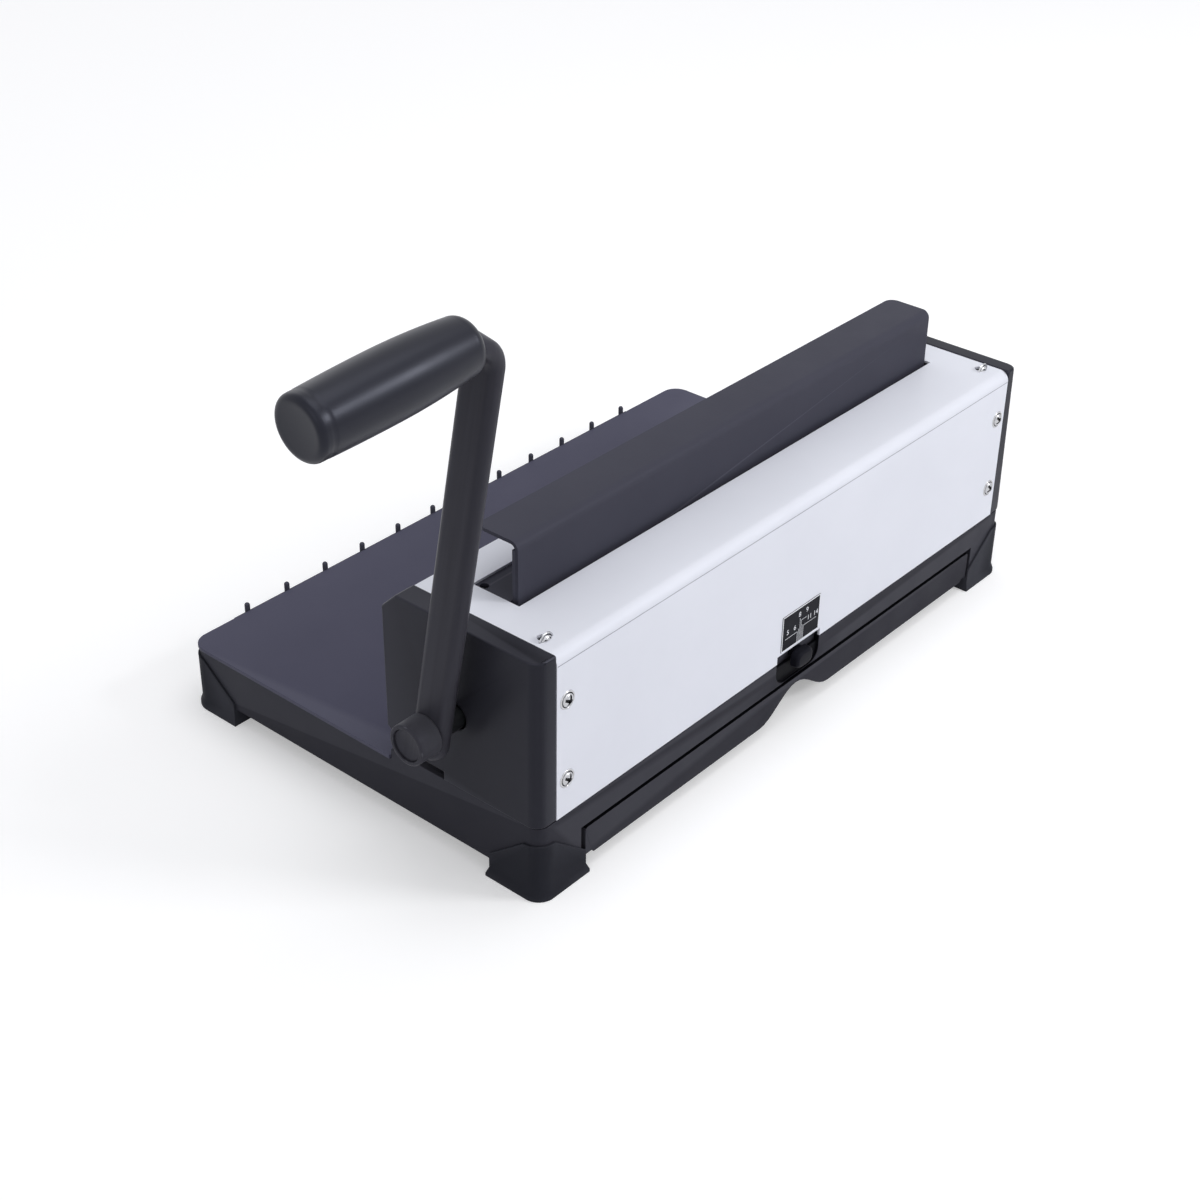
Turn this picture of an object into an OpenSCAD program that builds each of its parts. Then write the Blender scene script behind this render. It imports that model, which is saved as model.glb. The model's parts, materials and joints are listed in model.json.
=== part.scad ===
// Wire binding machine for A4 sheets. A lever on the right turns a shaft with two snail
// cams. They press a carrier down that punches a row of square holes in a stack's edge
// and closes a wire comb under its bar. Paper scraps fall into a drawer at the rear.
// X runs along the machine towards the lever, Y from the table's front edge to the rear
// face, and Z up from the desk. The last lines centre the whole machine on its own box.

/* [Base and table] */
// Width of the base moulding
base_w = 360.8; // [358:0.2:366]
// Depth of the base moulding, front edge to rear face
base_d = 221; // [215:1:250]
// Height of the base's lower rim above the desk
base_lift = 8.3; // [8:0.1:9]
// Height of the base moulding
base_h = 24.2; // [24:0.1:25]
// Wall of the base moulding
base_wall = 3; // [2.5:0.25:3.5]
// Plan radius of the two front corners
front_r = 9; // [6:0.5:12]
// Plan radius of the two rear corners
rear_r = 6; // [4:0.5:8]
// Thickness of the table plate
table_t = 2; // [1.5:0.25:2.5]
// Wall of the corner feet
foot_wall = 1.1; // [1:0.1:1.5]
// Height of the corner feet
foot_h = 29.4; // [28:0.2:31]
// Length of a corner foot along each side
foot_len = 29.5; // [28:0.5:31]

/* [Casing] */
// Width of a side cover
side_w = 11.5; // [11:0.1:12]
// Depth of the casing, front face to rear face
case_d = 87.5; // [87:0.5:92]
// Height of the casing's top above the shaft
case_rise = 44.7; // [44.5:0.1:48]
// Height of the chamfer along the casing's front edge
case_chamfer = 8.5; // [6:0.5:9]
// Bend radius of the cover's rear edge
case_bend_r = 5; // [3:0.5:6]
// Sheet thickness of the white cover
cover_t = 1.2; // [0.8:0.1:1.5]
// Height of the white cover's rear edge above the table
cover_seam = 3.5; // [3:0.1:4]
// Height of the side covers' lower edge above the table
side_seam = 3.5; // [3:0.1:4]
// Wall of the moulded side covers
side_wall = 2.5; // [2:0.25:3]
// Thickness of the steel side plates
plate_t = 3; // [2.5:0.5:3.5]
// Radius of a cover screw's head
screw_head_r = 3.9; // [3.5:0.1:4.2]

/* [Throat and punches] */
// Clear height of the paper throat
throat_gap = 4.5; // [4.2:0.1:4.8]
// Depth of the throat, casing front to paper stop
throat_d = 27.5; // [27:0.1:28]
// Distance from the paper's edge to the row of hole centres
hole_margin = 4.5; // [4:0.1:4.8]
// Most holes that the row may have
hole_most = 34; // [23:1:34]
// Distance between holes
hole_pitch = 8.467; // [8:0.01:8.5]
// Side of a square hole
hole_side = 4; // [3.5:0.1:4.2]
// Thickness of the die plate
die_t = 8; // [6:0.5:9]
// Thickness of the punch guide plate
guide_t = 5; // [4:0.25:5.5]

/* [Closing bar] */
// Distance from the white cover's end to the closing bar's
bar_end = 18.9; // [18.5:0.1:20]
// Width of the bar's top flange
bar_d = 23.5; // [22:0.5:24]
// Height of the bar above the casing at rest
bar_rise = 28; // [27:0.5:32]
// Sheet thickness of the bar
bar_t = 1.7; // [1.5:0.1:2]
// Outer bend radius of the bar
bar_bend_r = 4; // [3:0.5:5]
// Distance from the white cover's end to the slot's
slot_end = 16.9; // [16:0.1:17.9]
// Width of the slot
slot_d = 26.3; // [26:0.1:27]
// Distance from the rear face to the slot
slot_rear = 35.7; // [35:0.1:36]

/* [Shaft and cams] */
// Radius of the main shaft
shaft_r = 5; // [4.5:0.25:5]
// Height of the shaft above the desk
shaft_h = 75.3; // [75:0.1:76]
// Distance from the rear face to the shaft
shaft_rear = 46.5; // [46:0.1:47]
// Travel of the carrier
press_travel = 22; // [16:0.5:22]
// Swing of the lever in degrees
lever_swing = 85; // [75:1:90]
// Smallest radius of the cams
cam_min_r = 8.5; // [8:0.25:8.75]
// Thickness of a cam
cam_t = 7; // [5:0.5:7.5]
// Radius of a cam roller
roller_r = 5; // [4.5:0.25:5]

/* [Lever] */
// Length of the arm, shaft to grip
arm_len = 190; // [150:1:230]
// Backward lean of the arm at rest in degrees
arm_lean = 10.6; // [0:0.1:12]
// Width of the flat oval arm
arm_w = 18; // [16:0.5:20]
// Thickness of the flat oval arm
arm_t = 8; // [6:0.5:10]
// Centre-line radius of the arm's elbow
elbow_r = 10; // [8:0.5:16]
// Gap between the side cover and the arm
arm_gap = 8.6; // [6:0.1:14]
// Radius of the hub boss
hub_r = 9.4; // [9:0.1:11]
// Length of the hub boss
hub_len = 11.5; // [8:0.5:16]
// Length of the grip
grip_len = 79.5; // [60:0.5:120]
// Largest radius of the grip
grip_r = 13.3; // [12.5:0.1:16]

/* [Drawer and wire size stop] */
// Distance from the base's side to the drawer's end
drawer_end = 29; // [28.8:0.1:30]
// Height of the drawer front
drawer_h = 15.75; // [15:0.25:16]
// Half width of the finger arch in the drawer front
arch_half_w = 27.5; // [20:0.5:32]
// Height of the finger arch
arch_h = 12.6; // [9:0.2:13]
// Number of wire sizes on the scale
size_steps = 6; // [4:1:7]
// Knob movement from one size to the next
size_pitch = 2; // [1.5:0.1:2]
// Most wire pins that the front rail may have
pin_most = 12; // [6:1:12]
// Radius of a wire pin
pin_r = 1.35; // [1:0.05:1.4]

/* [Hidden] */
$fn = 64;

// Colours
black_plastic = [0.13, 0.13, 0.14];
slate_satin = [0.30, 0.30, 0.36];
white_paint = [0.90, 0.91, 0.95];
black_paint = [0.12, 0.12, 0.13];
rubber_black = [0.09, 0.09, 0.10];
charcoal = [0.24, 0.24, 0.25];
steel = [0.66, 0.67, 0.70];
bright_steel = [0.82, 0.83, 0.85];
dark_steel = [0.34, 0.35, 0.37];
bronze = [0.62, 0.47, 0.28];

// Overrun of every cut, and the clearances
over = 1;
gap = 0.3;
fine_gap = 0.05;
press_gap = 0.02;
punch_gap = 0.06;
cam_gap = 0.15;

// Levels above the desk
case_top = shaft_h + case_rise;
base_top = base_lift + base_h;
table_top = base_top + table_t;
throat_top = table_top + throat_gap;
guide_top = throat_top + guide_t;
side_bottom = table_top + side_seam;
cover_bottom = table_top + cover_seam;
seam_gap = 0.5;
rim_top = side_bottom - seam_gap;
bar_top = case_top + bar_rise;

// Depths from the table's front edge
case_front = base_d - case_d;
stop_y = case_front + throat_d;
punch_y = stop_y - hole_margin;
shaft_y = base_d - shaft_rear;
slot_y1 = base_d - slot_rear;
slot_y0 = slot_y1 - slot_d;
bar_inset = 0.5;
bar_y0 = slot_y0 + bar_inset;
bar_y1 = bar_y0 + bar_d;
strip_t = 1.7;
strip_drop = bar_bend_r + gap;

// Widths from the middle of the machine
trim = 1;
base_x = base_w / 2;
side_x = base_x + trim;
cover_x = side_x - side_w;
web_x = cover_x - plate_t;
bar_x = cover_x - bar_end;
slot_x = cover_x - slot_end;
bracket_t = 4;
bracket_in = 1;
bracket_x1 = bar_x - bracket_in;
bracket_x0 = bracket_x1 - bracket_t;
bar_screw_l = 3.6;

// As many holes as the row has room for between the bar's end screws
hole_room = bracket_x0 - bar_screw_l - 2 * gap - hole_side / 2;
hole_count = min(hole_most, 1 + floor(2 * hole_room / hole_pitch));

// Base moulding and the drawer's front in it
base_skin = 3;
drawer_drop = 1.3;
drawer_gap = 1.8;
drawer_z0 = base_lift - drawer_drop;
drawer_z1 = drawer_z0 + drawer_h;
boss_r = 5;
boss_in = 15;
rib_t = 2;
rib_drop = 5;
rib_count = 5;
well_gap = 0.5;

// Corner feet and their screws
foot_flare = 1.2;
foot_lip = 1.6;
foot_shoulder = 4.7;
foot_low = 12;
foot_top = 11;
foot_top_drop = 1.4;
foot_out = foot_wall + foot_flare;
foot_screw_r = 2;
foot_screw_head_r = 4;
foot_screw_head_h = 2.5;
foot_screw_l = 16;

// Front rail and its wire pins
pin_pitch = 3 * hole_pitch;
pin_count = min(pin_most, ceil(hole_count / 3));
pin_shift = 4.2;
pin_span = (pin_count - 1) * pin_pitch;
rail_d = 4.5;
rail_h = 9;
rail_down = 1.5;
rail_low = base_top - rail_down - rail_h;
rail_end = 7;
pin_y = -rail_d / 2;
pin_seat = 5;
pin_rise = 3;
pin_top = table_top + pin_rise;

// Mouth of the throat
mouth_rise = 12;
mouth_drop = 8.6;
mouth_top = throat_top + mouth_rise;
mouth_low = mouth_top - mouth_drop;
mouth_d = 10.5;
notch_in = 5.8;
notch_y = stop_y + notch_in;

// Die, paper stop and punch guide
die_front = 9.5;
stop_t = 4;
die_y0 = punch_y - die_front;
die_y1 = stop_y + stop_t;
sunk_screw_in = 4;

// Side plates and what they carry
lug_drop = 12;
lug_front = 6.5;
lug_rear = 7;
lug_y0 = die_y0 - lug_front;
lug_y1 = die_y1 + lug_rear;
flange_w = 10;
flange_t = 3;
flange_d = 18;
top_screw_in = 13.5;
top_screw_y = base_d - top_screw_in;
rear_screw_drop = [24, 63.5];
rear_screw_z = [for (drop = rear_screw_drop) case_top - drop];
cover_screw_in = 6.3;
cover_screw_x = cover_x - cover_screw_in;
tie_r = 4;
tie_in = 9.2;
tie_rise = 5;
spring_rod_back = 20.5;
spring_rod_drop = 7.5;
tie_y = base_d - tie_in;
tie_z = guide_top + tie_rise;
spring_rod_y = shaft_y + spring_rod_back;
spring_rod_z = case_top - spring_rod_drop;
bush_wall = 2.5;
bush_flange = 2.5;
bush_flange_t = 2;

// Screws of the frame: pan heads on the rods, sunk heads on die and guide
frame_screw_r = 2;
frame_head_r = 4;
frame_head_h = 3;
frame_screw_l = 8;
sunk_screw_r = 1.5;
sunk_head_r = 2.4;
sunk_head_h = 1.6;
rod_places = [[tie_y, tie_z], [spring_rod_y, spring_rod_z]];
die_places = [
  [die_y0 + sunk_screw_in, table_top - die_t / 2],
  [die_y1 - sunk_screw_in, table_top - die_t / 2]
];
guide_places = [[punch_y, throat_top + guide_t / 2]];
sunk_places = concat(die_places, guide_places);

// Slot plate under the cover's slot
slot_plate_t = 2;
slot_plate_front = 8;
slot_plate_end = 12;
bar_play = 0.9;
slot_plate_z = case_top - cover_t;
slot_plate_y0 = slot_y0 - slot_plate_front;
slot_plate_y1 = bar_y1 - bar_t - strip_t - bar_play;
slot_plate_x = cover_x - slot_plate_end;
shelf_w = 25;
shelf_front = 6;
shelf_d = 22;
shelf_y0 = slot_y0 - shelf_front;
shelf_y1 = shelf_y0 + shelf_d;
shelf_z = slot_plate_z - slot_plate_t;
plate_screw_in = 3.5;
plate_head_r = 3;
plate_screw_x = slot_x - plate_screw_in;
plate_screw_y = slot_y0 + plate_screw_in;

// Carrier
shaft_play = 0.6;
slot_wall = 7.9;
slot_half = shaft_r + shaft_play;
bracket_y0 = shaft_y - slot_half - slot_wall;
bracket_y1 = shaft_y + slot_half + slot_wall;
bracket_low_y = die_y1 + 2 * gap;
roller_drop = cam_min_r + roller_r;
roller_z = shaft_h - roller_drop;
roller_pin_r = 2.5;
lobe_r = 6;
shoulder_z = shaft_h + press_travel + slot_half;
neck_gap = 1.8;
neck_z = shelf_z - flange_t - neck_gap;
tab_w = 16;
tab_t = 3;
tab_rise = 0.4;
tab_z0 = shoulder_z + tab_rise;
tab_y1 = bar_y1 - bar_t - strip_t;
punch_bar_d = 12;
punch_bar_h = 12.5;
punch_bar_gap = 0.5;
punch_bar_z = guide_top + press_travel + punch_bar_gap;
punch_bar_y0 = punch_y - punch_bar_d / 2;
punch_bar_y1 = punch_y + punch_bar_d / 2;
punch_side = hole_side - 2 * punch_gap;
punch_tip_z = throat_top + gap;
punch_seat = 8;
punch_slant = 1.2;
ear_past = 4;
ear_y1 = spring_rod_y + ear_past;
ear_h = 10;
carrier_screw_r = 2;
carrier_head_r = 3.5;
carrier_head_h = 2.4;
flat_head_h = 0.7;
tab_screw_in = 4;
tab_screw_z = (tab_z0 + neck_z) / 2;
tab_screw_x = [bracket_x0 - tab_w + tab_screw_in, bracket_x0 - tab_screw_in];
bar_screw_share = [0.26, 0.74];
bar_screw_places = [for (share = bar_screw_share)
  [punch_bar_y0 + share * punch_bar_d, punch_bar_z + share * punch_bar_h]];

// Stop arm under the shaft, and the stepped slide below its blade
arm_half_w = 6;
stop_arm_t = 5;
stop_arm_gap = 1;
stop_arm_z = shaft_h - shaft_r - stop_arm_gap - stop_arm_t;
stop_blade_half = 0.8;
stop_blade_in = 18;
stop_blade_d = 5;
stop_blade_y = base_d - stop_blade_in;
step_h = 0.8;
slide_gap = 0.2;
slide_x = 30;
slide_plate_t = 3;
slide_rise = 4.2;
slide_floor = base_top + slide_gap;
slide_y1 = base_d - base_wall - gap;
slide_top = cover_bottom + slide_rise;
stair_d = 9;
stair_half = 15;

// Size knob, its window and its scale plate
knob_half_w = 8.5;
knob_out = rail_d;
knob_down = 5;
knob_h = 11.5;
knob_z0 = table_top - knob_down;
stem_half_w = 4;
stem_h = 5;
stem_z0 = table_top + gap;
window_half_w = 16.8;
scoop_r = 7;
scoop_d = 1.4;
scoop_up = 0.6;
scoop_z0 = drawer_z1 + drawer_gap + scoop_up;
cover_notch_h = 4;
label_w = 29.4;
label_h = 19.2;
label_t = 0.3;
label_up = 5.4;
label_z0 = cover_bottom + label_up;

// Cams
cam_x0 = bar_x;
cam_lead = 4;
cam_parts = 40;
cam_hub_gap = 0.6;
cam_low_r = cam_min_r - cam_gap;

// Lever
sleeve_r = 5.9;
sleeve_hole_r = 6.4;
arm_x = side_x + arm_gap + arm_t / 2;
arm_tail = 5.5;
hub_x0 = arm_x + arm_t / 2;
hub_x1 = hub_x0 + hub_len;
hub_ring = 2;
hub_recess_r = hub_r - hub_ring;
hub_recess_h = 1;
hub_edge = 0.8;
cap_t = 1.6;
collar_w = 5;
collar_r = 10;
shaft_x1 = hub_x1 - hub_recess_h - cap_t;
collar_x1 = -cover_x - bush_flange_t - gap;
shaft_x0 = collar_x1 - collar_w - gap;
grip_x0 = arm_x + elbow_r;
grip_x1 = grip_x0 + grip_len;
grip_start_share = 0.82;
grip_end_share = 0.94;
grip_peak_share = 0.52;
grip_edge_r = 2.6;
grip_parts = 18;
stub_end = 12;

// Drawer and its rails
drawer_x = base_x - drawer_end;
drawer_t = 1.5;
drawer_up = 0.2;
drawer_end_gap = 2.6;
drawer_corner_r = 1.5;
drawer_nick_w = 5.5;
drawer_nick_h = 1.5;
drawer_floor = base_lift + drawer_up;
tray_in = 5.3;
tray_back = 2.5;
tray_front = 16.5;
tray_low = 8;
tray_h = 10.5;
tray_x = drawer_x - tray_in;
tray_y0 = case_front - tray_back;
tray_y1 = base_d - tray_front;
runner_w = 4.4;
runner_t = 2;
runner_z = drawer_floor + tray_h - runner_t;
rail_t = 2.2;
rail_wall = 4.3;

// Return springs
spring_r = 4;
spring_wire_r = 0.7;
spring_turns = 9;
spring_ring = 10;
spring_sides = 6;
spring_x = (bracket_x0 + bracket_x1) / 2;
spring_z0 = roller_z + ear_h + gap;
spring_z1 = spring_rod_z - tie_r - gap;

// The whole machine's box, which the frame is centred on
box_x0 = -base_x - foot_out;
box_y0 = -rail_d;
box_y1 = base_d + knob_out;
frame_x = (box_x0 + grip_x1) / 2;
frame_y = (box_y0 + box_y1) / 2;

// Places the whole machine in its own frame
module placed() {
  translate([-frame_x, -frame_y, 0]) children();
}

// Profile in depth and height, drawn out along X from x0 to x1
module along_x(x0, x1) {
  translate([x0, 0, 0]) rotate([90, 0, 90]) linear_extrude(x1 - x0) children();
}

// Profile in width and height, drawn out along Y from y0 to y1
module along_y(y0, y1) {
  translate([0, y1, 0]) rotate([90, 0, 0]) linear_extrude(y1 - y0) children();
}

// Block between two corners
module block(low, high) {
  translate(low) cube(high - low);
}

// Round rod along X
module rod_x(x0, x1, r, y, z) {
  translate([x0, y, z]) rotate([0, 90, 0]) cylinder(h = x1 - x0, r = r);
}

// Mirrors its children to the left side
module left_side() {
  mirror([1, 0, 0]) children();
}

// Both sides at once
module both_sides() {
  children();
  left_side() children();
}

// What a rounding of radius r takes off a corner at the origin
module corner_cut(r) {
  difference() {
    translate([-over, -over]) square(r + over);
    translate([r, r]) circle(r);
  }
}

// Plan of the base, drawn in by inset on every side
module base_plan(inset, half_w = base_x) {
  x0 = -half_w + inset;
  difference() {
    translate([x0, inset]) square([-2 * x0, base_d - 2 * inset]);
    for (side = [0, 1]) mirror([side, 0]) {
      translate([x0, inset]) corner_cut(front_r - inset);
      translate([x0, base_d - inset]) mirror([0, 1]) corner_cut(rear_r - inset);
    }
  }
}

// Casing profile, drawn in by inset, from low_z upwards
module case_profile(inset, low_z, top_z, bend_r = case_bend_r) {
  k = inset * tan(22.5);
  chamfer_y = case_front + case_chamfer;
  difference() {
    polygon([
      [case_front + inset, low_z], [case_front + inset, top_z - case_chamfer - k],
      [chamfer_y + k, top_z - inset], [base_d - inset, top_z - inset],
      [base_d - inset, low_z]
    ]);
    if (bend_r > inset) translate([base_d - inset, top_z - inset]) mirror([1, 0])
      mirror([0, 1]) corner_cut(bend_r - inset);
  }
}

// Flared mouth of the paper throat, grown by grow, as a cut
module mouth_profile(grow) {
  polygon([
    [case_front - over, table_top - over], [case_front - over, mouth_top + grow + over],
    [case_front, mouth_top + grow], [case_front + mouth_d, mouth_low + grow],
    [notch_y + grow, mouth_low + grow], [notch_y + grow, table_top - over]
  ]);
}

// Flat oval of the lever arm: width along Y, thickness along X
module arm_oval(grow) {
  half = (arm_w - arm_t) / 2;
  square([arm_t + 2 * grow, 2 * half], center = true);
  for (end = [-1, 1]) translate([0, end * half]) circle(arm_t / 2 + grow);
}

// Screw with a round head: shank down from the origin, head above it
module screw(head_r, head_h, shank_r, shank_l) {
  dome_r = (head_r * head_r + head_h * head_h) / (2 * head_h);
  intersection() {
    cylinder(h = head_h, r = head_r);
    translate([0, 0, head_h - dome_r]) sphere(dome_r);
  }
  translate([0, 0, -shank_l]) cylinder(h = shank_l, r = shank_r);
}

// Screw whose head is cut with a cross
module cross_screw(head_r, head_h, shank_r, shank_l) {
  slot = head_r * 0.24;
  reach = head_r * 0.62;
  difference() {
    screw(head_r, head_h, shank_r, shank_l);
    for (turn = [0, 90]) rotate(turn)
      translate([-reach, -slot / 2, head_h * 0.45]) cube([2 * reach, slot, head_h]);
  }
}

// Base moulding with its drawer bay, rails, ribs and bosses
module base() {
  color(black_plastic) difference() {
    union() {
      difference() {
        translate([0, 0, base_lift]) linear_extrude(base_h) base_plan(0);
        translate([0, 0, base_lift - over])
          linear_extrude(base_h - base_skin + over) base_plan(base_wall);
      }
      base_rim();
      both_sides() base_rail();
      base_ribs();
      for (place = foot_places()) translate([place[0], place[1], base_lift])
        cylinder(h = base_h - base_skin, r = boss_r);
    }
    block([-cover_x - well_gap, lug_y0 - well_gap, table_top - die_t - gap],
      [cover_x + well_gap, lug_y1 + well_gap, table_top + over]);
    block([-drawer_x - drawer_end_gap, base_d - base_wall - over, base_lift - over],
      [drawer_x + drawer_end_gap, base_d + over, drawer_z1 + drawer_gap]);
    knob_recess();
    for (place = foot_places()) translate([place[0], place[1], base_lift - over])
      cylinder(h = foot_screw_l - foot_screw_head_h + over, r = foot_screw_r + press_gap);
  }
}

// Rim that runs round under the casing, up to the dark seam
module base_rim() {
  translate([0, 0, base_top - fine_gap]) linear_extrude(rim_top - base_top + fine_gap)
    difference() {
      base_plan(0);
      base_plan(base_wall);
      translate([-base_w, -base_d]) square([2 * base_w, base_d + case_front + gap]);
    }
}

// Rail for the drawer's right runner, hung from the base's skin
module base_rail() {
  x0 = tray_x + over;
  x1 = tray_x + runner_w + gap;
  y0 = case_front;
  y1 = base_d - base_wall + fine_gap;
  block([x1, y0, runner_z - gap - rail_t], [x1 + rail_wall, y1, base_top - base_skin + fine_gap]);
  block([x0, y0, runner_z - gap - rail_t], [x1 + over, y1, runner_z - gap]);
  block([x0, y0, runner_z + runner_t + gap], [x1 + over, y1, runner_z + runner_t + gap + rail_t]);
}

// Stiffening ribs under the table
module base_ribs() {
  step = (base_w - 2 * base_wall) / (rib_count + 1);
  for (i = [1 : rib_count])
    block([-base_x + base_wall + i * step - rib_t / 2, base_wall - fine_gap,
      base_top - base_skin - rib_drop],
      [-base_x + base_wall + i * step + rib_t / 2, case_front - rail_wall,
      base_top - base_skin + fine_gap]);
}

// Places of the feet's screws
function foot_places() = [
  for (x = [-base_x + boss_in, base_x - boss_in]) for (y = [boss_in, base_d - boss_in]) [x, y]
];

// Window for the size knob's stem and the scoop round the knob
module knob_recess() {
  block([-window_half_w, base_d - base_wall - over, stem_z0 - gap],
    [window_half_w, base_d + over, cover_bottom + over]);
  along_y(base_d - scoop_d, base_d + over) {
    translate([-window_half_w, scoop_z0 + scoop_r])
      square([2 * window_half_w, cover_bottom - scoop_z0 - scoop_r + over]);
    translate([-window_half_w + scoop_r, scoop_z0])
      square([2 * (window_half_w - scoop_r), scoop_r + over]);
    for (end = [-1, 1]) translate([end * (window_half_w - scoop_r), scoop_z0 + scoop_r])
      circle(scoop_r);
  }
}

// Table plate in front of the casing, with a tongue that runs on to the die
module table_plate() {
  color(slate_satin) translate([0, 0, base_top]) linear_extrude(table_t) difference() {
    base_plan(0, side_x);
    difference() {
      translate([-base_w, case_front]) square([2 * base_w, base_d]);
      translate([-web_x + gap, case_front - over])
        square([2 * (web_x - gap), die_y0 - gap - case_front + over]);
    }
  }
}

// Rail on the base's front face
module pin_rail() {
  color(black_plastic) difference() {
    block([pin_shift - pin_span / 2 - rail_end, -rail_d, rail_low],
      [pin_shift + pin_span / 2 + rail_end, 0, rail_low + rail_h]);
    for (i = [0 : pin_count - 1])
      translate([pin_x(i), pin_y, rail_low + rail_h - pin_seat])
        cylinder(h = pin_seat + over, r = pin_r + press_gap);
  }
}

// Place of a wire pin along the rail
function pin_x(i) = pin_shift - pin_span / 2 + i * pin_pitch;

// Round-tipped pins that hold the wire comb open side up
module wire_pins() {
  z0 = rail_low + rail_h - pin_seat;
  color(black_paint) for (i = [0 : pin_count - 1]) translate([pin_x(i), pin_y, 0]) {
    translate([0, 0, z0]) cylinder(h = pin_top - pin_r - z0, r = pin_r);
    translate([0, 0, pin_top - pin_r]) sphere(pin_r);
  }
}

// Rubber shoe over a corner of the base
module foot(right, rear) {
  corner_x = base_x + foot_out;
  corner_y = rear ? base_d + foot_out : -foot_out;
  sy = rear ? -1 : 1;
  boss_x = base_x - boss_in;
  boss_y = rear ? base_d - boss_in : boss_in;
  color(rubber_black) mirror([right ? 0 : 1, 0, 0]) intersection() {
    difference() {
      union() {
        linear_extrude(foot_lip) base_plan(-foot_out);
        linear_extrude(foot_h) base_plan(-foot_wall);
        foot_slope(rear);
      }
      translate([0, 0, base_lift]) linear_extrude(foot_h) base_plan(0);
      translate([boss_x, boss_y, -over]) cylinder(h = foot_h, r = foot_screw_r + gap);
      translate([boss_x, boss_y, -over])
        cylinder(h = foot_screw_head_h + over, r = foot_screw_head_r + gap);
    }
    along_x(0, corner_x + over) polygon([
      for (p = foot_outline()) [corner_y + sy * p[0], p[1]]
    ]);
    along_y(-base_d, 2 * base_d) polygon([
      for (p = foot_outline()) [corner_x - p[0], p[1]]
    ]);
  }
}

// Slope from a foot's lip up to its wall, along both sides and round the corner
module foot_slope(rear) {
  r = rear ? rear_r : front_r;
  reach = foot_len + 2 * foot_out + r;
  translate([0, rear ? base_d : 0, 0]) mirror([0, rear ? 1 : 0, 0]) {
    along_y(r, reach) polygon([for (p = slope_section()) [base_x + p[0], p[1]]]);
    along_x(base_x - reach, base_x - r) polygon([for (p = slope_section()) [-p[0], p[1]]]);
    translate([base_x - r, r, 0]) rotate(-90) rotate_extrude(angle = 90)
      polygon([for (p = slope_section()) [r + p[0], p[1]]]);
  }
}

// Section of that slope: distance out from the base's face, and height
function slope_section() = [
  [foot_wall / 2, foot_lip / 2], [foot_out, foot_lip / 2], [foot_out, foot_lip],
  [foot_wall, foot_shoulder], [foot_wall / 2, foot_shoulder]
];

// Outline of a foot's side: distance from its corner, and height
function foot_outline() = let (end = foot_len + foot_flare) [
  [-over, -over], [end + foot_flare, -over], [end + foot_flare, foot_lip],
  [end, foot_shoulder], [end, foot_low], [foot_top, foot_h - foot_top_drop],
  [-over, foot_h]
];

// Screws that hold the feet to the base's bosses
module foot_screws() {
  color(steel) for (place = foot_places()) translate([place[0], place[1], 0]) {
    translate([0, 0, gap])
      cylinder(h = foot_screw_head_h - gap, r = foot_screw_head_r);
    translate([0, 0, foot_screw_head_h])
      cylinder(h = foot_screw_l - foot_screw_head_h, r = foot_screw_r);
  }
}

// Moulded end cap of the casing, lever side
module side_cover(hole) {
  side_top = case_top + side_wall / 5;
  side_bend_r = side_wall / 2;
  difference() {
    intersection() {
      along_x(cover_x, side_x) case_profile(0, side_bottom, side_top, side_bend_r);
      linear_extrude(side_top + over) base_plan(0, side_x);
    }
    intersection() {
      along_x(cover_x - over, side_x - side_wall)
        case_profile(side_wall, side_bottom - over, side_top, side_bend_r);
      linear_extrude(side_top) base_plan(side_wall, side_x);
      along_x(cover_x - over, side_x) difference() {
        translate([0, side_bottom + over]) square([base_d, side_top]);
        mouth_profile(side_wall);
      }
    }
    along_x(cover_x - over, side_x + over) difference() {
      mouth_profile(0);
      square([notch_y + over, side_bottom - over]);
    }
    if (hole) rod_x(cover_x, side_x + over, sleeve_hole_r, shaft_y, shaft_h);
  }
}

module side_cover_right() {
  color(black_plastic) side_cover(true);
}

module side_cover_left() {
  color(black_plastic) left_side() side_cover(false);
}

// White folded cover: rear face, top with its slot, front chamfer, front face and lip
module top_cover() {
  lip_k = cover_t / cos(atan((mouth_top - mouth_low) / mouth_d));
  color(white_paint) difference() {
    union() {
      along_x(-cover_x, cover_x) difference() {
        case_profile(0, cover_bottom, case_top);
        case_profile(cover_t, cover_bottom - over, case_top);
        translate([case_front - over, 0]) square([case_d / 2, mouth_top]);
      }
      along_x(-cover_x, cover_x) polygon([
        [case_front, mouth_top], [case_front + mouth_d, mouth_low],
        [case_front + mouth_d, mouth_low + lip_k], [case_front + cover_t, mouth_top + lip_k / 2],
        [case_front, mouth_top + lip_k / 2]
      ]);
    }
    block([-slot_x, slot_y0, case_top - 2 * cover_t], [slot_x, slot_y1, case_top + over]);
    block([-window_half_w, base_d - 2 * cover_t, cover_bottom - over],
      [window_half_w, base_d + over, cover_bottom + cover_notch_h]);
    cover_screw_places() translate([0, 0, -2 * cover_t])
      cylinder(h = 3 * cover_t, r = frame_screw_r + gap);
  }
}

// Sets its children on every screw place of the white cover
module cover_screw_places() {
  both_sides() {
    translate([cover_screw_x, top_screw_y, case_top]) children();
    for (z = rear_screw_z) translate([cover_screw_x, base_d, z]) rotate([-90, 0, 0]) children();
  }
}

// Truss head screws of the white cover
module cover_screws() {
  color(bright_steel) cover_screw_places()
    cross_screw(screw_head_r, screw_head_r * 0.5, frame_screw_r, cover_t + flange_t);
}

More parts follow.
